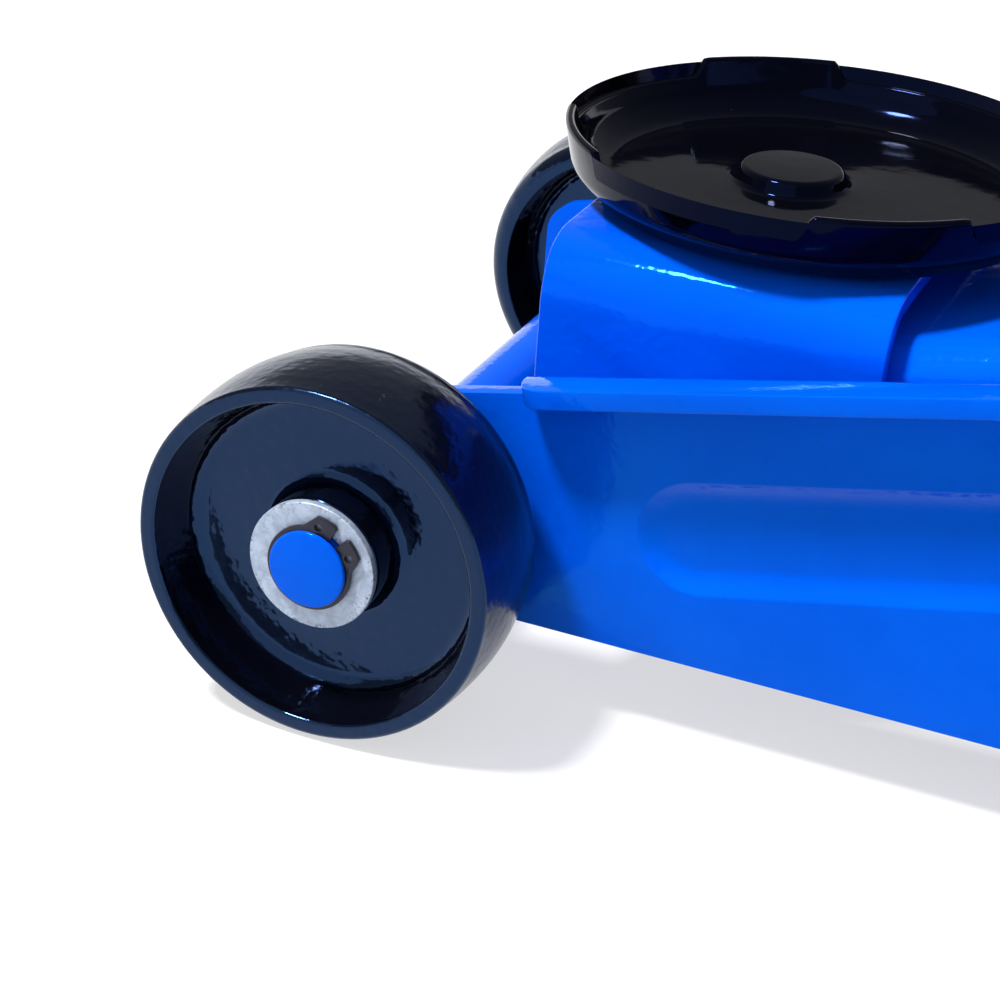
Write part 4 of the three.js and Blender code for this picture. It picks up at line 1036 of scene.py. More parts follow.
def liftArm():
    s = armShape
    pivot, nose, heel = middle("arm_shaft"), middle("bracket_pin"), middle("heel_pin")
    forward = (nose - pivot).normalized()
    length = (nose - pivot).length
    up = leftwards.cross(forward) * -1
    half = s["half"]
    flat = Vector((forward.dot(heel - pivot), up.dot(heel - pivot)))
    profile = channel(half, -90 * mm, s["top"], s["bend"])
    piece = folded("liftArm", profile, pivot - forward * 50 * mm, up, forward * (length + 100 * mm),
                   s["wall"], pivot - up * 20 * mm)
    beam = belt((0, 0, s["boss"]), (length, s["top"] - s["nose"], s["nose"]))
    lever = belt((0, 0, s["boss"]), (flat.x, flat.y, s["heelBoss"]))
    reach, inside = leftwards * (half + 5 * mm), leftwards * (half - 2 * mm)
    trimmed(piece, slabOfAll("outline", (beam, lever), pivot - reach, forward, up, reach * 2), "INTERSECT")
    braceAt = pivot + forward * length * s["braceShare"] - up * s["braceDrop"] - inside
    trimmed(piece, slab("brace", [circle(s["brace"])], braceAt, forward, up, inside * 2), "UNION")
    for bar in ("arm_shaft", "bracket_pin", "heel_pin"):
        boredFor(piece, bar, 70 * mm)
    softEdges(piece, 0.45 * mm, 3)
    return fitted(piece, "lift_arm", bluePaint)


stage("lift arm")
liftArm()


# saddle

saddleShape = {
    "radius": 53.3 * mm,
    "foot": 46.0 * mm,
    "wall": 2.0 * mm,
    "rimRise": 9.9 * mm,
    "rimRound": 0.95 * mm,
    "tooth": 4.0 * mm,
    "toothAngle": 36,
    "toothTurn": 30.3,
    "toothSlope": 3.4,        # degrees that a tooth takes to fall to the rim
    "boss": 12.5 * mm,
    "bossRise": 3.4 * mm,
    "bossAhead": 6.0 * mm,
    "seat": 16.0 * mm,
    "stem": 10.0 * mm,
    "steps": 360,
}


def saddleDish():
    s = saddleShape
    low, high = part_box("saddle")
    axis = middle("saddle_retaining_ring")
    full = s["rimRise"] + s["tooth"]
    base = Vector((axis.x, 0, high.z - full))
    inner = s["radius"] - s["wall"]
    seat = -0.8 * mm
    piece = turned("saddleDish", [
        (0, low.z - base.z), (s["stem"], low.z - base.z, 0.8 * mm), (s["stem"], seat, 0.3 * mm),
        (s["seat"], seat, 0.3 * mm), (s["seat"], 0, 0.3 * mm), (s["foot"], 0, 3.0 * mm),
        (s["radius"] - 2.0 * mm, 4.4 * mm, 5 * mm), (s["radius"], full, s["rimRound"]),
        (inner, full, s["rimRound"]), (inner - 1.6 * mm, s["wall"] + 4.2 * mm, 6 * mm),
        (inner - 6.5 * mm, s["wall"], 6 * mm), (0, s["wall"])], base, upwards, s["steps"], 11)
    bossCentre = base + forwards * s["bossAhead"]
    wide, floor = s["boss"], s["wall"]
    top = floor + s["bossRise"]
    boss = turned("boss", [
        (0, 0.4 * mm), (wide + 2.2 * mm, 0.4 * mm), (wide + 1.9 * mm, floor - 0.02 * mm),
        (wide + 1.5 * mm, floor + 0.02 * mm), (wide - 0.6 * mm, floor + 0.15 * mm, 1.6 * mm),
        (wide - 1.8 * mm, top, 1.5 * mm), (0, top)], bossCentre, upwards, 96, 9)
    trimmed(piece, boss, "UNION")
    lowerRim(piece, base, full)
    smooth(piece, 32)
    return fitted(piece, "saddle", castEnamel)


# between the teeth the top of the rim is let down in an easy S at either end of a tooth
def lowerRim(piece, base, full):
    s = saddleShape
    pitch, half, slope = math.tau / 4, math.radians(s["toothAngle"] / 2), math.radians(s["toothSlope"])
    floor = base.z + full - s["rimRound"] - 0.05 * mm
    drops = {}
    for vertex in piece.data.vertices:
        if vertex.co.z > floor:
            angle = math.atan2(vertex.co.y - base.y, vertex.co.x - base.x) - math.radians(s["toothTurn"])
            off = abs((angle + pitch / 2) % pitch - pitch / 2) - half
            share = min(1, max(0, off / slope + 0.5))
            fall = round(share * share * (3 - 2 * share), 4)
            drops.setdefault(fall, []).append(vertex.index)
    for fall, indices in drops.items():
        edit(piece)
        bpy.ops.mesh.select_all(action="DESELECT")
        bpy.ops.object.mode_set(mode="OBJECT")
        for index in indices:
            piece.data.vertices[index].select = True
        bpy.ops.object.mode_set(mode="EDIT")
        bpy.ops.transform.translate(value=upwards * -fall * s["tooth"])
    deselect()


stage("saddle")
saddleDish()


# rear caster wheels

casterShape = {"hub": 8.5 * mm, "hubDepth": 3.0 * mm, "rim": 6.0 * mm}


def casterWheel(side):
    s = casterShape
    node = f"caster_wheel_{side}"
    radius, half = extent(node).z / 2, extent(node).y / 2
    web, rim, face = half - s["hubDepth"], radius - s["rim"], half - 0.6 * mm
    quarter = eased([
        (boreFor("caster_axle"), half), (s["hub"], half, 0.6 * mm), (s["hub"] + 0.6 * mm, web, 1.2 * mm),
        (rim, web, 1.2 * mm), (rim + mm, face, 0.8 * mm), (radius - 1.2 * mm, face, 2.6 * mm),
        (radius, half - 5 * mm, 4 * mm), (radius, 0)], degrees=12)
    profile = quarter + [Vector((p.x, -p.y)) for p in reversed(quarter[:-1])]
    piece = turned(f"casterWheel.{side}", profile, middle(node), leftwards, 96)
    return fitted(piece, node, nylon)


stage("caster wheels")
for side in sides:
    casterWheel(side)


# fittings: bars, pins and rings

# the near end of a node along an axis, and its length
def span(node, axis):
    low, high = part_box(node)
    reach = abs((high - low).dot(axis)) / 2
    return (low + high) / 2 - axis * reach, 2 * reach


def lathed(node, corners, axis, material, steps=64):
    start, length = span(node, axis)
    corners = [(r, length + d if d < 0 else d, *rest) for r, d, *rest in corners]
    return fitted(turned(titled(node), corners, start, axis, steps), node, material)


def plainBar(node, edge, material):
    radius, length = radiusOf(node), span(node, leftwards)[1]
    return lathed(node, [(0, 0), (radius, 0, edge), (radius, length, edge), (0, length)], leftwards, material)


def plainRing(node, bar, edge, material, axis=leftwards):
    return fitted(ringPiece(titled(node), node, bar, edge, axis), node, material)


# a pin whose ends are upset into low heads over the sheets it holds
def rivet(node, head, rise):
    radius, half = radiusOf(node), span(node, leftwards)[1] / 2
    end = eased([(radius, half - rise), (head, half - rise, rise * 0.25),
                 (head - rise * 0.2, half, rise * 0.8), (0, half)], degrees=12)
    return fitted(turned(titled(node), bothWays(end), middle(node), leftwards, 72), node, brightSteel)


stage("bars, pins and rings")
plainBar("frame_tie_bar", 0.8 * mm, bluePaint)
plainBar("arm_shaft", 1.0 * mm, brightSteel)
plainBar("pump_roller", 0.6 * mm, brightSteel)
plainRing("heel_roller", "heel_pin", 0.8 * mm, brightSteel)
plainRing("saddle_retaining_ring", "saddle_groove", 0.2 * mm, springSteel, upwards)
plainRing("pump_barrel", "pump_plunger", 1.0 * mm, brightSteel, upwards)
for side in sides:
    plainRing(f"arm_bush_{side}", "arm_shaft", 0.5 * mm, brightSteel)
    plainRing(f"socket_spacer_{side}", "socket_shaft", 0.5 * mm, brightSteel)
rivet("bracket_pin", 9.6 * mm, 3.0 * mm)
rivet("link_pin", 7.0 * mm, 1.6 * mm)
rivet("socket_shaft", 10.5 * mm, 4.0 * mm)


heelPinShape = {
    "groove": 4.5 * mm,
    "width": 2.8 * mm,
    "line": 50.6 * mm,        # the spring's line, out from the centre plane
    "edge": 0.5 * mm,
}


def heelPin():
    s = heelPinShape
    half = span("heel_pin", leftwards)[1] / 2
    inner, outer = s["line"] - s["width"] / 2, s["line"] + s["width"] / 2
    r, groove = radiusOf("heel_pin"), s["groove"]
    end = eased([
        (r, 0), (r, inner, 0.2 * mm), (groove, inner, 0.7 * mm), (groove, outer, 0.7 * mm),
        (r, outer, 0.2 * mm), (r, half, s["edge"]), (0, half)])
    piece = turned("heelPin", bothWays(end[1:]), middle("heel_pin"), leftwards, 48)
    return fitted(piece, "heel_pin", brightSteel)


heelPin()


# fittings: bolts, nuts and screws

boltShape = {
    "head": 8.5 * mm,
    "headEdge": 0.3 * mm,
    "crown": 8.5 * mm,        # the head's radius at its outer end
    "crownRound": 1.2 * mm,
    "rise": 5.0 * mm,
    "lip": 6.6 * mm,          # small upset end on the inside
    "lipHeight": 2.9 * mm,
    "key": 3.4 * mm,          # corner radius of the hexagon socket
    "keyDepth": 2.6 * mm,
    "steps": 64,
}
nutShape = {"corner": 17.0 * mm, "bevel": 30}
screwShape = {
    "head": 5.0 * mm, "headEdge": 0.2 * mm, "crown": 4.3 * mm, "crownRound": 1.5 * mm, "rise": 2.4 * mm,
    "key": 1.7 * mm, "keyDepth": 1.3 * mm, "steps": 48,
}


def hexSocket(piece, centre, axis, corner, depth):
    across = forwards if abs(axis.y) > 0.5 else leftwards
    bottom, up = centre - axis * depth, axis.cross(across)
    return trimmed(piece, slab("key", [circle(corner, 6)], bottom, across, up, axis * (depth + 3 * mm)))


def socketScrew(node, sign, s, foot):
    axis = leftwards * sign
    start, length = span(node, axis)
    under = length - s["rise"]
    piece = turned(titled(node), [
        (0, 0), *foot, (radiusOf(node), under), (s["head"], under, s["headEdge"]),
        (s["crown"], length, s["crownRound"]), (0, length)], start, axis, s["steps"])
    hexSocket(piece, start + axis * length, axis, s["key"], s["keyDepth"])
    return fitted(smooth(piece, 32), node, zinc)


def shaftNut(side, sign):
    s = nutShape
    node = f"arm_shaft_nut_{side}"
    axis = leftwards * sign
    start, length = span(node, axis)
    fall = s["corner"] * (1 - math.cos(math.pi / 6)) * math.tan(math.radians(s["bevel"]))
    piece = slab(titled(node), [circle(s["corner"], 6)], start, forwards, upwards, axis * length)
    wide = s["corner"] * 1.01
    flat = s["corner"] * math.cos(math.pi / 6)
    cone = [(0, 0), (flat, 0), (wide, fall), (wide, length - fall), (flat, length), (0, length)]
    trimmed(piece, turned("chamfer", cone, start, axis, 96), "INTERSECT")
    bored(piece, start + axis * length / 2, boreFor("arm_shaft"), length)
    softEdges(piece, 0.25 * mm, 2)
    return fitted(piece, node, zinc)


stage("bolts, nuts and screws")
lip, lipHeight = boltShape["lip"], boltShape["lipHeight"]
boltFoot = [(lip, 0, 0.9 * mm), (lip, lipHeight, 0.2 * mm), (radiusOf("link_bolt"), lipHeight)]
screwFoot = [(radiusOf("cover_screw"), 0, 0.4 * mm)]
for side, sign in sides.items():
    socketScrew(f"link_bolt_{side}", sign, boltShape, boltFoot)
    shaftNut(side, sign)
    socketScrew(f"cover_screw_{side}", sign, screwShape, screwFoot)


# levelling links, rear plate and top cover

linkShape = {"eye": 7.5 * mm, "edge": 0.8 * mm}
coverShape = {"half": 61.7 * mm, "wall": 2.5 * mm, "bend": 5.0 * mm, "edge": 0.5 * mm}


def linkBar(side):
    s = linkShape
    node = f"link_bar_{side}"
    low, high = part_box(node)
    bars = (f"link_bolt_{side}", "link_pin")
    outline = belt(*[(*middle(bar).xz, s["eye"]) for bar in bars])
    holes = [circle(boreFor(bar), 36, middle(bar).xz) for bar in bars]
    place = leftwards * low.y, forwards, upwards, leftwards * (high.y - low.y)
    piece = slab(titled(node), [outline, *holes], *place)
    softEdges(piece, s["edge"], 3)
    return fitted(piece, node, bluePaint)


def topCover():
    s = coverShape
    low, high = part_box("top_cover")
    profile = channel(s["half"], low.z, high.z, s["bend"])
    piece = folded("topCover", profile, forwards * high.x, upwards, forwards * (low.x - high.x),
                   s["wall"], upwards * low.z)
    for side in sides:
        boredFor(piece, f"cover_screw_{side}", 80 * mm)
    softEdges(piece, s["edge"], 3)
    return fitted(piece, "top_cover", bluePaint)


# a copy of a CAD mesh, merged into flat faces and softened along its edges
def merged(node, edge, material):
    piece = bpy.data.objects.new(titled(node), frame["nodes"][node].data.copy())
    bpy.context.scene.collection.objects.link(piece)
    edit(piece)
    bpy.ops.mesh.remove_doubles(threshold=0.005 * mm)
    bpy.ops.mesh.dissolve_limited(angle_limit=math.radians(1.0))
    softEdges(piece, edge, 3, 40)
    return fitted(piece, node, material)


stage("links, rear plate and cover")
for side in sides:
    linkBar(side)
topCover()
merged("rear_caster_plate", 0.6 * mm, bluePaint)


# caster forks and axles

forkShape = {
    "wall": 2.5 * mm,
    "bend": 4.0 * mm,
    "eye": 7.5 * mm,
    "crown": 7.0 * mm,
    "race": 13.0 * mm,
    "stem": 5.0 * mm,
    "head": 9.0 * mm,
    "rise": 3.7 * mm,
    "trail": 16.0 * mm,       # how far the wheel's axle runs behind the stem
    "room": 3.5 * mm,         # from the wheel's face to the fork's outer face
    "raceDepth": 4.0 * mm,
}
casterAxleShape = {"head": 7.0 * mm, "nut": 6.4 * mm, "inside": 12.8 * mm}


def casterFork(side):
    s = forkShape
    node = f"caster_fork_{side}"
    top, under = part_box("rear_caster_plate")[0].z - s["raceDepth"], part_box(node)[1].z - s["rise"]
    wheel = middle(f"caster_wheel_{side}")
    stem = Vector((wheel.x + s["trail"], wheel.y, 0))
    half = span(f"caster_wheel_{side}", leftwards)[1] / 2 + s["room"]
    profile = channel(half, wheel.z - 9 * mm, top, s["bend"], 8)
    front = stem + forwards * 30 * mm
    piece = folded(titled(node), profile, front, upwards, forwards * -70 * mm, s["wall"], wheel)
    crown = top - 6 * mm
    outline = belt((wheel.x, wheel.z, s["eye"]), (wheel.x + 2 * mm, crown, s["crown"]))
    leg = belt((wheel.x, wheel.z, s["eye"]), (stem.x + 9 * mm, crown, s["crown"]))
    place = leftwards * (wheel.y - half - mm), forwards, upwards, leftwards * 2 * (half + mm)
    trimmed(piece, slabOfAll("outline", (outline, leg), *place), "INTERSECT")
    bored(piece, wheel, boreFor("caster_axle"), half + 2 * mm)
    softEdges(piece, 0.35 * mm, 2)
    race, stemRadius, head = s["race"], s["stem"], s["head"]
    plateLow = top + s["raceDepth"] - 0.3 * mm
    stub = turned("stem", [
        (0, top - mm), (stemRadius + mm, top - mm), (race, top - 0.2 * mm, 0.3 * mm),
        (race, plateLow, 0.8 * mm), (stemRadius, plateLow), (stemRadius, under), (head, under, 0.4 * mm),
        (head - 0.6 * mm, under + s["rise"], 2.0 * mm), (0, under + s["rise"])], stem, upwards, 64)
    trimmed(piece, stub, "UNION")
    return fitted(smooth(piece, 32), node, zinc)


def casterAxle(side):
    s = casterAxleShape
    node = f"caster_axle_{side}"
    half = span(node, leftwards)[1] / 2
    shank, head, nut = radiusOf("caster_axle"), s["head"], s["nut"]
    inner, outer = half - s["inside"], half + s["inside"]
    return lathed(node, [
        (0, 0), (head, 0, 0.9 * mm), (head, inner), (shank, inner), (shank, outer), (nut, outer),
        (nut, 2 * half - mm, 0.4 * mm), (shank, 2 * half - mm), (shank, 2 * half, 0.5 * mm), (0, 2 * half)],
        leftwards, zinc, 48)


stage("caster forks and axles")
for side in sides:
    casterFork(side)
    casterAxle(side)


# ram, tank and pump

ramShape = {
    "rod": 10.0 * mm,
    "plate": 10.0 * mm,
    "halfWidth": 17.0 * mm,
    "halfHeight": 14.0 * mm,
    "tank": 26.0 * mm,
    "gland": 20.0 * mm,
    "notch": 3.0 * mm,
}
valveShape = {"stem": 5.0 * mm, "bar": 2.5 * mm, "barAt": 5.0 * mm}
plugShape = {"stem": 4.0 * mm, "foot": 1.2 * mm, "flange": 6.5 * mm, "head": 7.0 * mm, "headAt": 2.4 * mm}
plungerShape = {"head": 8.0 * mm, "headHeight": 3.6 * mm}


def ramRod():
    s = ramShape
    start, length = span("ram_rod", forwards)
    piece = turned("ramRod", [
        (0, 0), (s["rod"], 0, mm), (s["rod"], length - s["plate"] / 2), (0, length - s["plate"] / 2)],
        start, forwards, 64)
    w, h = s["halfWidth"], s["halfHeight"]
    face = start + forwards * (length - s["plate"])
    outline = eased([(-w, -h, 6 * mm), (w, -h, 6 * mm), (w, h, 6 * mm), (-w, h, 6 * mm)], closed=True)
    head = slab("head", [outline], face, leftwards, upwards, forwards * s["plate"])
    softEdges(head, 0.9 * mm, 3)
    trimmed(piece, head, "UNION")
    return fitted(smooth(piece, 32), "ram_rod", brightSteel)


def glandNut():
    s = ramShape
    start, length = span("ram_gland_nut", forwards)
    bore = s["rod"] + slack
    outer = s["gland"]
    piece = turned("glandNut", [
        (bore, 0, 0.3 * mm), (outer, 0, 0.8 * mm), (outer, length, 0.8 * mm), (bore, length, 0.3 * mm)],
        start, forwards, 96)
    for angle in (45, 135, 225, 315):
        turn = math.radians(angle)
        at = start + outer * (leftwards * math.cos(turn) + upwards * math.sin(turn)) - forwards * mm
        place = at, leftwards, upwards, forwards * (length + 2 * mm)
        trimmed(piece, slab("notch", [circle(s["notch"], 24)], *place))
    softEdges(piece, 0.2 * mm, 2)
    return fitted(piece, "ram_gland_nut", springSteel)


def ramCylinder():
    s = ramShape
    length = span("ram_cylinder", forwards)[1]
    bore = s["rod"] + slack
    tank, step, floor = s["tank"], s["tank"] - 3 * mm, 10 * mm
    return lathed("ram_cylinder", [
        (0, 0), (step, 0, 0.6 * mm), (step, 4 * mm, 0.5 * mm), (tank, 6 * mm, 0.8 * mm),
        (tank, length, 2.2 * mm), (bore, length, 0.5 * mm), (bore, floor), (0, floor)], forwards, casting, 96)


def fillerPlug():
    s = plugShape
    stem, foot, head = s["stem"], s["foot"], s["head"]
    return lathed("filler_plug", [
        (0, 0), (stem, 0), (stem, foot), (s["flange"], foot, 0.3 * mm), (head, s["headAt"], 0.5 * mm),
        (head - 1.5 * mm, 4.6 * mm, mm), (0, 5 * mm)], upwards, gripRubber, 48)


def pumpPlunger():
    length = span("pump_plunger", upwards)[1]
    rod, head, under = radiusOf("pump_plunger"), plungerShape["head"], length - plungerShape["headHeight"]
    return lathed("pump_plunger", [
        (0, 0), (rod, 0, 0.3 * mm), (rod, under), (head, under, 0.4 * mm),
        (head, length, 0.9 * mm), (0, length)], upwards, brightSteel, 64)


def releaseValve():
    s = valveShape
    node = "release_valve"
    start, length = span(node, forwards)
    piece = turned("releaseValve", [
        (0, 0), (s["stem"], 0, 0.8 * mm), (s["stem"], length, 0.6 * mm), (0, length)], start, forwards, 48)
    across, reach = span(node, leftwards)
    at = Vector((start.x + s["barAt"], across.y, start.z))
    bar = turned("bar", [
        (0, 0), (s["bar"], 0, 0.9 * mm), (s["bar"], reach, 0.9 * mm), (0, reach)], at, leftwards, 32)
    trimmed(piece, bar, "UNION")
    return fitted(smooth(piece, 32), node, zinc)


stage("ram, tank and pump")
ramRod()
glandNut()
ramCylinder()
fillerPlug()
pumpPlunger()
releaseValve()
merged("pump_block", 1.0 * mm, casting)


# handle

handleShape = {
    "tilt": 18,               # over the floor
    "bar": 15.0 * mm,
    "wall": 2.0 * mm,
    "sleeve": 19.0 * mm,
    "sleeveFrom": 32.0 * mm,  # distances are from the socket's shaft
    "sleeveTo": 122.0 * mm,
    "ear": 13.0 * mm,
    "earHalf": 21.5 * mm,
    "earWall": 6.0 * mm,
    "horn": 8.4 * mm,
    "joint": 340.0 * mm,
    "spigot": 50.0 * mm,
    "end": 640.0 * mm,
    "grip": 19.0 * mm,
    "gripFrom": 505.0 * mm,
    "ribs": 5,
    "screw": 92.0 * mm,
    "screwHead": 7.0 * mm,
}
handleTurn = math.radians(180 - handleShape["tilt"])
handleAlong = Vector((math.cos(handleTurn), 0, math.sin(handleTurn)))
handleOver = -handleAlong.cross(leftwards)
handleFrom = middle("socket_shaft")


def tube(name, corners):
    return turned(name, corners, handleFrom, handleAlong)


def handleSocket():
    s = handleShape
    bore = s["bar"] + slack
    piece = tube("handleSocket", [
        (bore, s["sleeveFrom"], 0.5 * mm), (s["sleeve"], s["sleeveFrom"], 1.0 * mm),
        (s["sleeve"], s["sleeveTo"], 1.0 * mm), (bore, s["sleeveTo"], 0.7 * mm)])
    roller = middle("pump_roller") - handleFrom
    flat = Vector((roller.dot(handleAlong), roller.dot(handleOver)))
    inner = s["earHalf"] - s["earWall"]
    start, end = s["sleeveFrom"] - 2 * mm, s["sleeveTo"] + mm
    tubeRoom = tube("room", [(0, start), (bore, start), (bore, end), (0, end)])
    for way in sides.values():
        arm = belt((0, 0, s["ear"]), (s["sleeveFrom"] + 18 * mm, 0, s["sleeve"] - 2 * mm))
        horn = belt((0, 0, s["ear"]), (*flat, s["horn"]))
        outwards = leftwards * way
        place = handleFrom + outwards * inner, handleAlong, handleOver, outwards * s["earWall"]
        ear = slabOfAll("ear", (arm, horn), *place)
        softEdges(ear, 0.7 * mm, 3)
        trimmed(piece, ear, "UNION")
    trimmed(piece, tubeRoom)
    boredFor(piece, "socket_shaft", 30 * mm)
    boredFor(piece, "pump_roller", 30 * mm)
    return fitted(smooth(piece, 32), "handle_socket", bluePaint)


def handleTubes():
    s = handleShape
    r, wall, joint = s["bar"], s["wall"], s["joint"]
    inner = r - wall - slack
    lower = tube("handle.lower", [
        (r - wall, s["sleeveFrom"] + mm, 0.5 * mm), (r, s["sleeveFrom"] + mm, 0.5 * mm),
        (r, joint, 0.6 * mm), (r - wall, joint, 0.4 * mm)])
    fitted(lower, "handle_lower", chromeTube)
    upper = tube("handle.upper", [
        (inner - wall, joint - s["spigot"], 0.4 * mm), (inner, joint - s["spigot"], 0.6 * mm),
        (inner, joint + 0.3 * mm), (r, joint + 2 * mm, 1.2 * mm), (r, s["end"], 0.5 * mm),
        (r - wall, s["end"]), (r - wall, joint + 6 * mm), (inner - wall, joint + 3 * mm)])
    fitted(upper, "handle_upper", chromeTube)


# a moulded grip: rolled ends, a waist at every rib and a closed far end
def handleGrip():
    s = handleShape
    start, end, r = s["gripFrom"], s["end"], s["grip"]
    sleeve = s["bar"] + slack
    pitch = (end - start - 40 * mm) / s["ribs"]
    profile = eased([
        (sleeve, end + 0.3 * mm), (sleeve, start, 0.6 * mm), (r - 1.2 * mm, start, 1.4 * mm),
        (r, start + 3 * mm, 1.5 * mm)])
    steps = 14 * s["ribs"]
    for k in range(1, steps):
        share = k / steps
        at = start + 22 * mm + share * pitch * s["ribs"]
        profile.append(Vector((r - 1.4 * mm * math.sin(math.pi * share * s["ribs"]) ** 2, at)))
    profile += eased([
        (r, end - 14 * mm), (r, end + 3.5 * mm, 3.0 * mm), (0, end + 3.5 * mm)])
    profile = [Vector((0, end + 0.3 * mm))] + profile
    piece = tube("handle.grip", profile)
    fitted(piece, "handle_grip", gripRubber)


def handleScrew():
    s = handleShape
    at = handleFrom + handleAlong * s["screw"]
    axis = -handleOver if handleOver.z > 0 else handleOver
    inner, outer = s["bar"] - 4 * mm, s["sleeve"] + 3 * mm
    shank = turned("handle.screw", [
        (0, inner), (3 * mm, inner, 0.5 * mm), (3 * mm, outer), (0, outer)], at, axis, 32)
    under = at + axis * (s["sleeve"] + 0.3 * mm)
    head = slab("head", [circle(s["screwHead"], 6)], under, handleAlong, leftwards, axis * 5.7 * mm)
    softEdges(head, 0.5 * mm, 3)
    trimmed(shank, head, "UNION")
    fitted(smooth(shank, 32), "handle_screw", zinc)


stage("handle")
handleSocket()
handleTubes()
handleGrip()
handleScrew()


# springs

springShape = {
    "wire": 0.9 * mm,         # radius, as are the others
    "coil": 2.7 * mm,
    "stud": 3.8 * mm,
    "pin": 4.8 * mm,
    "neck": 6.5 * mm,         # length of the straight wire between coil and eye
    "pumpWire": 0.7 * mm,
    "pumpCoil": 7.5 * mm,
    "pumpTurns": 4,
}


# a helix of round wire from one point along an axis
def coil(name, start, axis, length, radius, wire, turns):
    rise = length - 2 * wire
    piece = begin(name)
    draw(onPlane(circle(wire, 10), forwards * radius, forwards, upwards), closed=True)
    tidyMesh(outwards=False)
    deselect()
    modified(piece, "SCREW", axis="Z", angle=math.tau, screw_offset=rise / turns, iterations=turns,
             steps=20, render_steps=20)
    edit(piece)
    bpy.ops.mesh.select_all(action="DESELECT")
    bpy.ops.mesh.select_non_manifold()
    bpy.ops.mesh.edge_face_add()
    tidyMesh()
    place = Matrix.Translation(start + axis * wire) @ axis.to_track_quat("Z", "Y").to_matrix().to_4x4()
    deselect()
    piece.matrix_world = place
    makeActive(piece)
    bpy.ops.object.transform_apply(location=True, rotation=True, scale=True)
    return smooth(piece, 60)


def eyeRing(name, centre, radius, wire):
    return turned(name, circle(wire, 10, Vector((radius + wire, 0))), centre, leftwards, 40)


def joinedTo(piece, *others):
    makeActive(piece)
    for other in others:
        other.select_set(True)
    bpy.ops.object.join()
    return piece


def returnSpring(side):
    s = springShape
    node = f"return_spring_{side}"
    line = middle(node).y
    pin = middle("heel_pin")
    start = Vector((wheelCentre.x - plateShape["studBehind"], line, plateShape["studHeight"]))
    end = Vector((pin.x, line, pin.z))
    run = (end - start).normalized()
    bodyFrom = s["stud"] + 2 * s["wire"] + 2 * mm
    bodyTo = (end - start).length - s["pin"] - 2 * s["wire"] - 2 * mm
    turns = round((bodyTo - bodyFrom) / (2 * s["wire"]))
    piece = coil(titled(node), start + run * bodyFrom, run, bodyTo - bodyFrom, s["coil"], s["wire"], turns)
    first = eyeRing("eye", start, s["stud"], s["wire"])
    last = eyeRing("eye", end, s["pin"], s["wire"])
    necks = []
    for origin, way, near in ((start, run, s["stud"]), (end, -run, s["pin"])):
        profile = [(0, 0), (s["wire"], 0), (s["wire"], s["neck"]), (0, s["neck"])]
        necks.append(turned("neck", profile, origin + way * (near + s["wire"]), way, 12))
    joinedTo(piece, first, last, *necks)
    fitted(piece, node, springSteel, rides=False)
    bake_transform(piece)


def pumpSpring():
    s = springShape
    start, length = span("pump_spring", upwards)
    piece = coil("pumpSpring", start, upwards, length, s["pumpCoil"], s["pumpWire"], s["pumpTurns"])
    fitted(piece, "pump_spring", springSteel, rides=False)
    start + upwards * length
    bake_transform(piece)


stage("springs")
for side in sides:
    returnSpring(side)
pumpSpring()


# studio

studio = {
    "paper": 0.40,
    "floorGlow": 0.62,        # what the paper shows beyond the light that falls on it
    "wallGlow": 0.90,
    "reach": 12.0,
    "wallHeight": 2.6,
    "sky": 0.26,
    "suns": {                 # strength, angle and the direction it comes from
        "key": (4.3, 9, (0.34, 0.35, 1.0)),
        "fill": (0.6, 60, (0.1, 0.82, 0.57)),
    },
}


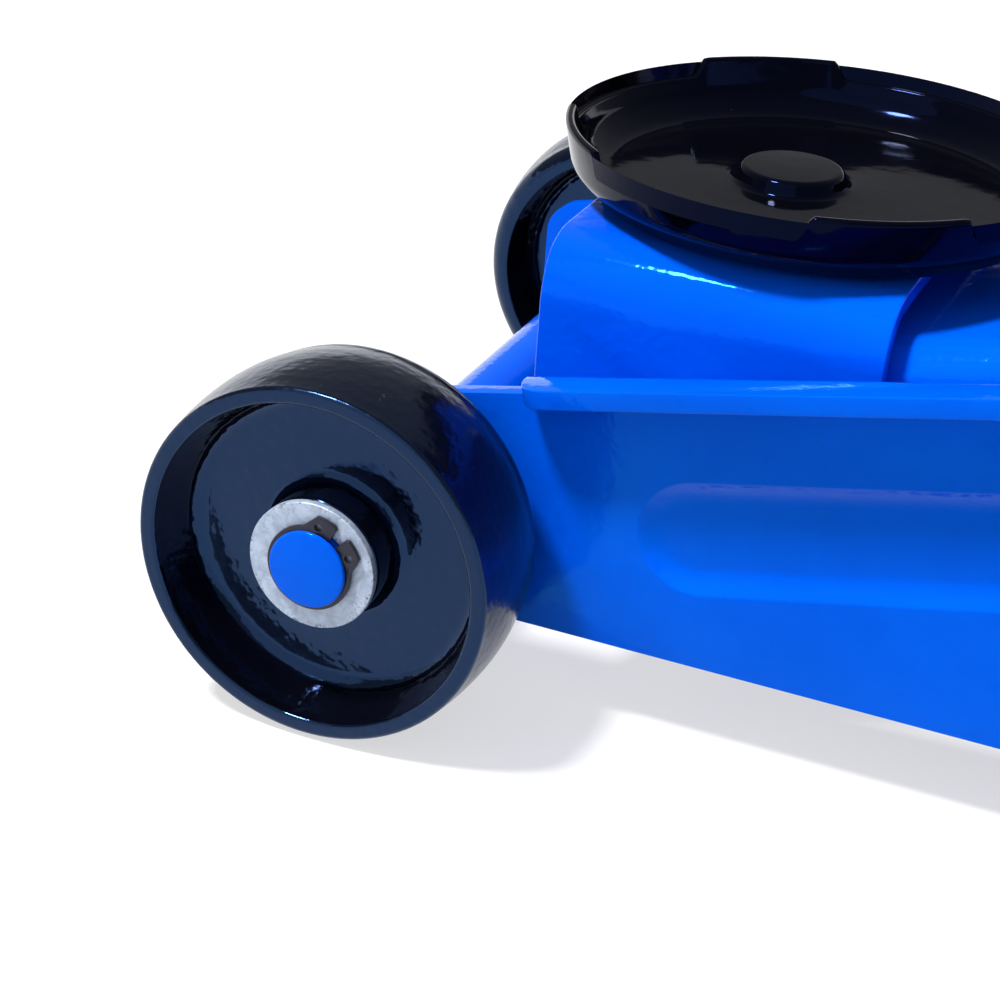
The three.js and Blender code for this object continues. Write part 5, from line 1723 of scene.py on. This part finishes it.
def paper(name, glow):
    finish = Finish(name)
    rays = ["Is Camera Ray", "Is Glossy Ray", "Is Transmission Ray"]
    seen = [finish.add("ShaderNodeLightPath", output=ray) for ray in rays]
    shades = [(studio["paper"] * share,) * 3 for share in (0.99, 1.01)]
    return finish.done({
        "Base Color": finish.mix(finish.noise(0.02, 2, 0.5), *shades),
        "Roughness": 0.9,
        "Specular IOR Level": 0.1,
        "Emission Color": finish.mix(seen[0] + seen[1] + seen[2], (0.0,) * 3, (glow,) * 3),
        "Emission Strength": 1.0})


def buildStudio():
    s = studio
    deselect()
    bpy.ops.mesh.primitive_plane_add(size=2 * s["reach"], location=(0, 0, -0.2 * mm))
    floor = bpy.context.active_object
    floor.name = "floor"
    floor.data.materials.append(paper("floorPaper", s["floorGlow"]))
    bpy.ops.mesh.primitive_cylinder_add(radius=s["reach"] * 0.98, depth=s["wallHeight"], vertices=96,
                                        end_fill_type="NOTHING", location=(0, 0, s["wallHeight"] / 2))
    wall = bpy.context.active_object
    wall.name = "wall"
    wall.data.materials.append(paper("wallPaper", s["wallGlow"]))
    world = bpy.data.worlds.new("studio")
    world.use_nodes = True
    world.node_tree.nodes["Background"].inputs["Color"].default_value = (1, 1, 1, 1)
    world.node_tree.nodes["Background"].inputs["Strength"].default_value = s["sky"]
    bpy.context.scene.world = world
    for name, (strength, angle, heading) in s["suns"].items():
        sun = bpy.data.lights.new(name, "SUN")
        sun.energy = strength
        sun.angle = math.radians(angle)
        light = bpy.data.objects.new(name, sun)
        bpy.context.scene.collection.objects.link(light)
        light.rotation_euler = Vector(heading).to_track_quat("Z", "Y").to_euler()


view = {
    "place": (-179.6 * mm, 461.8 * mm, 220.6 * mm),   # from the middle of the front axle
    "heading": -68.67,
    "tilt": -26.78,
    "roll": 4.05,
    "lens": 86.4,
}


def buildCamera():
    data = bpy.data.cameras.new("camera")
    data.lens = view["lens"]
    data.sensor_width = 36
    data.clip_start, data.clip_end = 0.01, 50
    camera = bpy.data.objects.new("camera", data)
    bpy.context.scene.collection.objects.link(camera)
    camera.matrix_world = Matrix.Translation(middle("front_axle") + Vector(view["place"]))
    for degrees, axis in ((view["heading"] - 90, "Z"), (view["tilt"] + 90, "X"), (view["roll"], "Z")):
        camera.matrix_world = camera.matrix_world @ Matrix.Rotation(math.radians(degrees), 4, axis)
    bpy.context.scene.camera = camera


stage("studio and camera")
buildStudio()
buildCamera()
bpy.context.scene.view_settings.view_transform = "Standard"
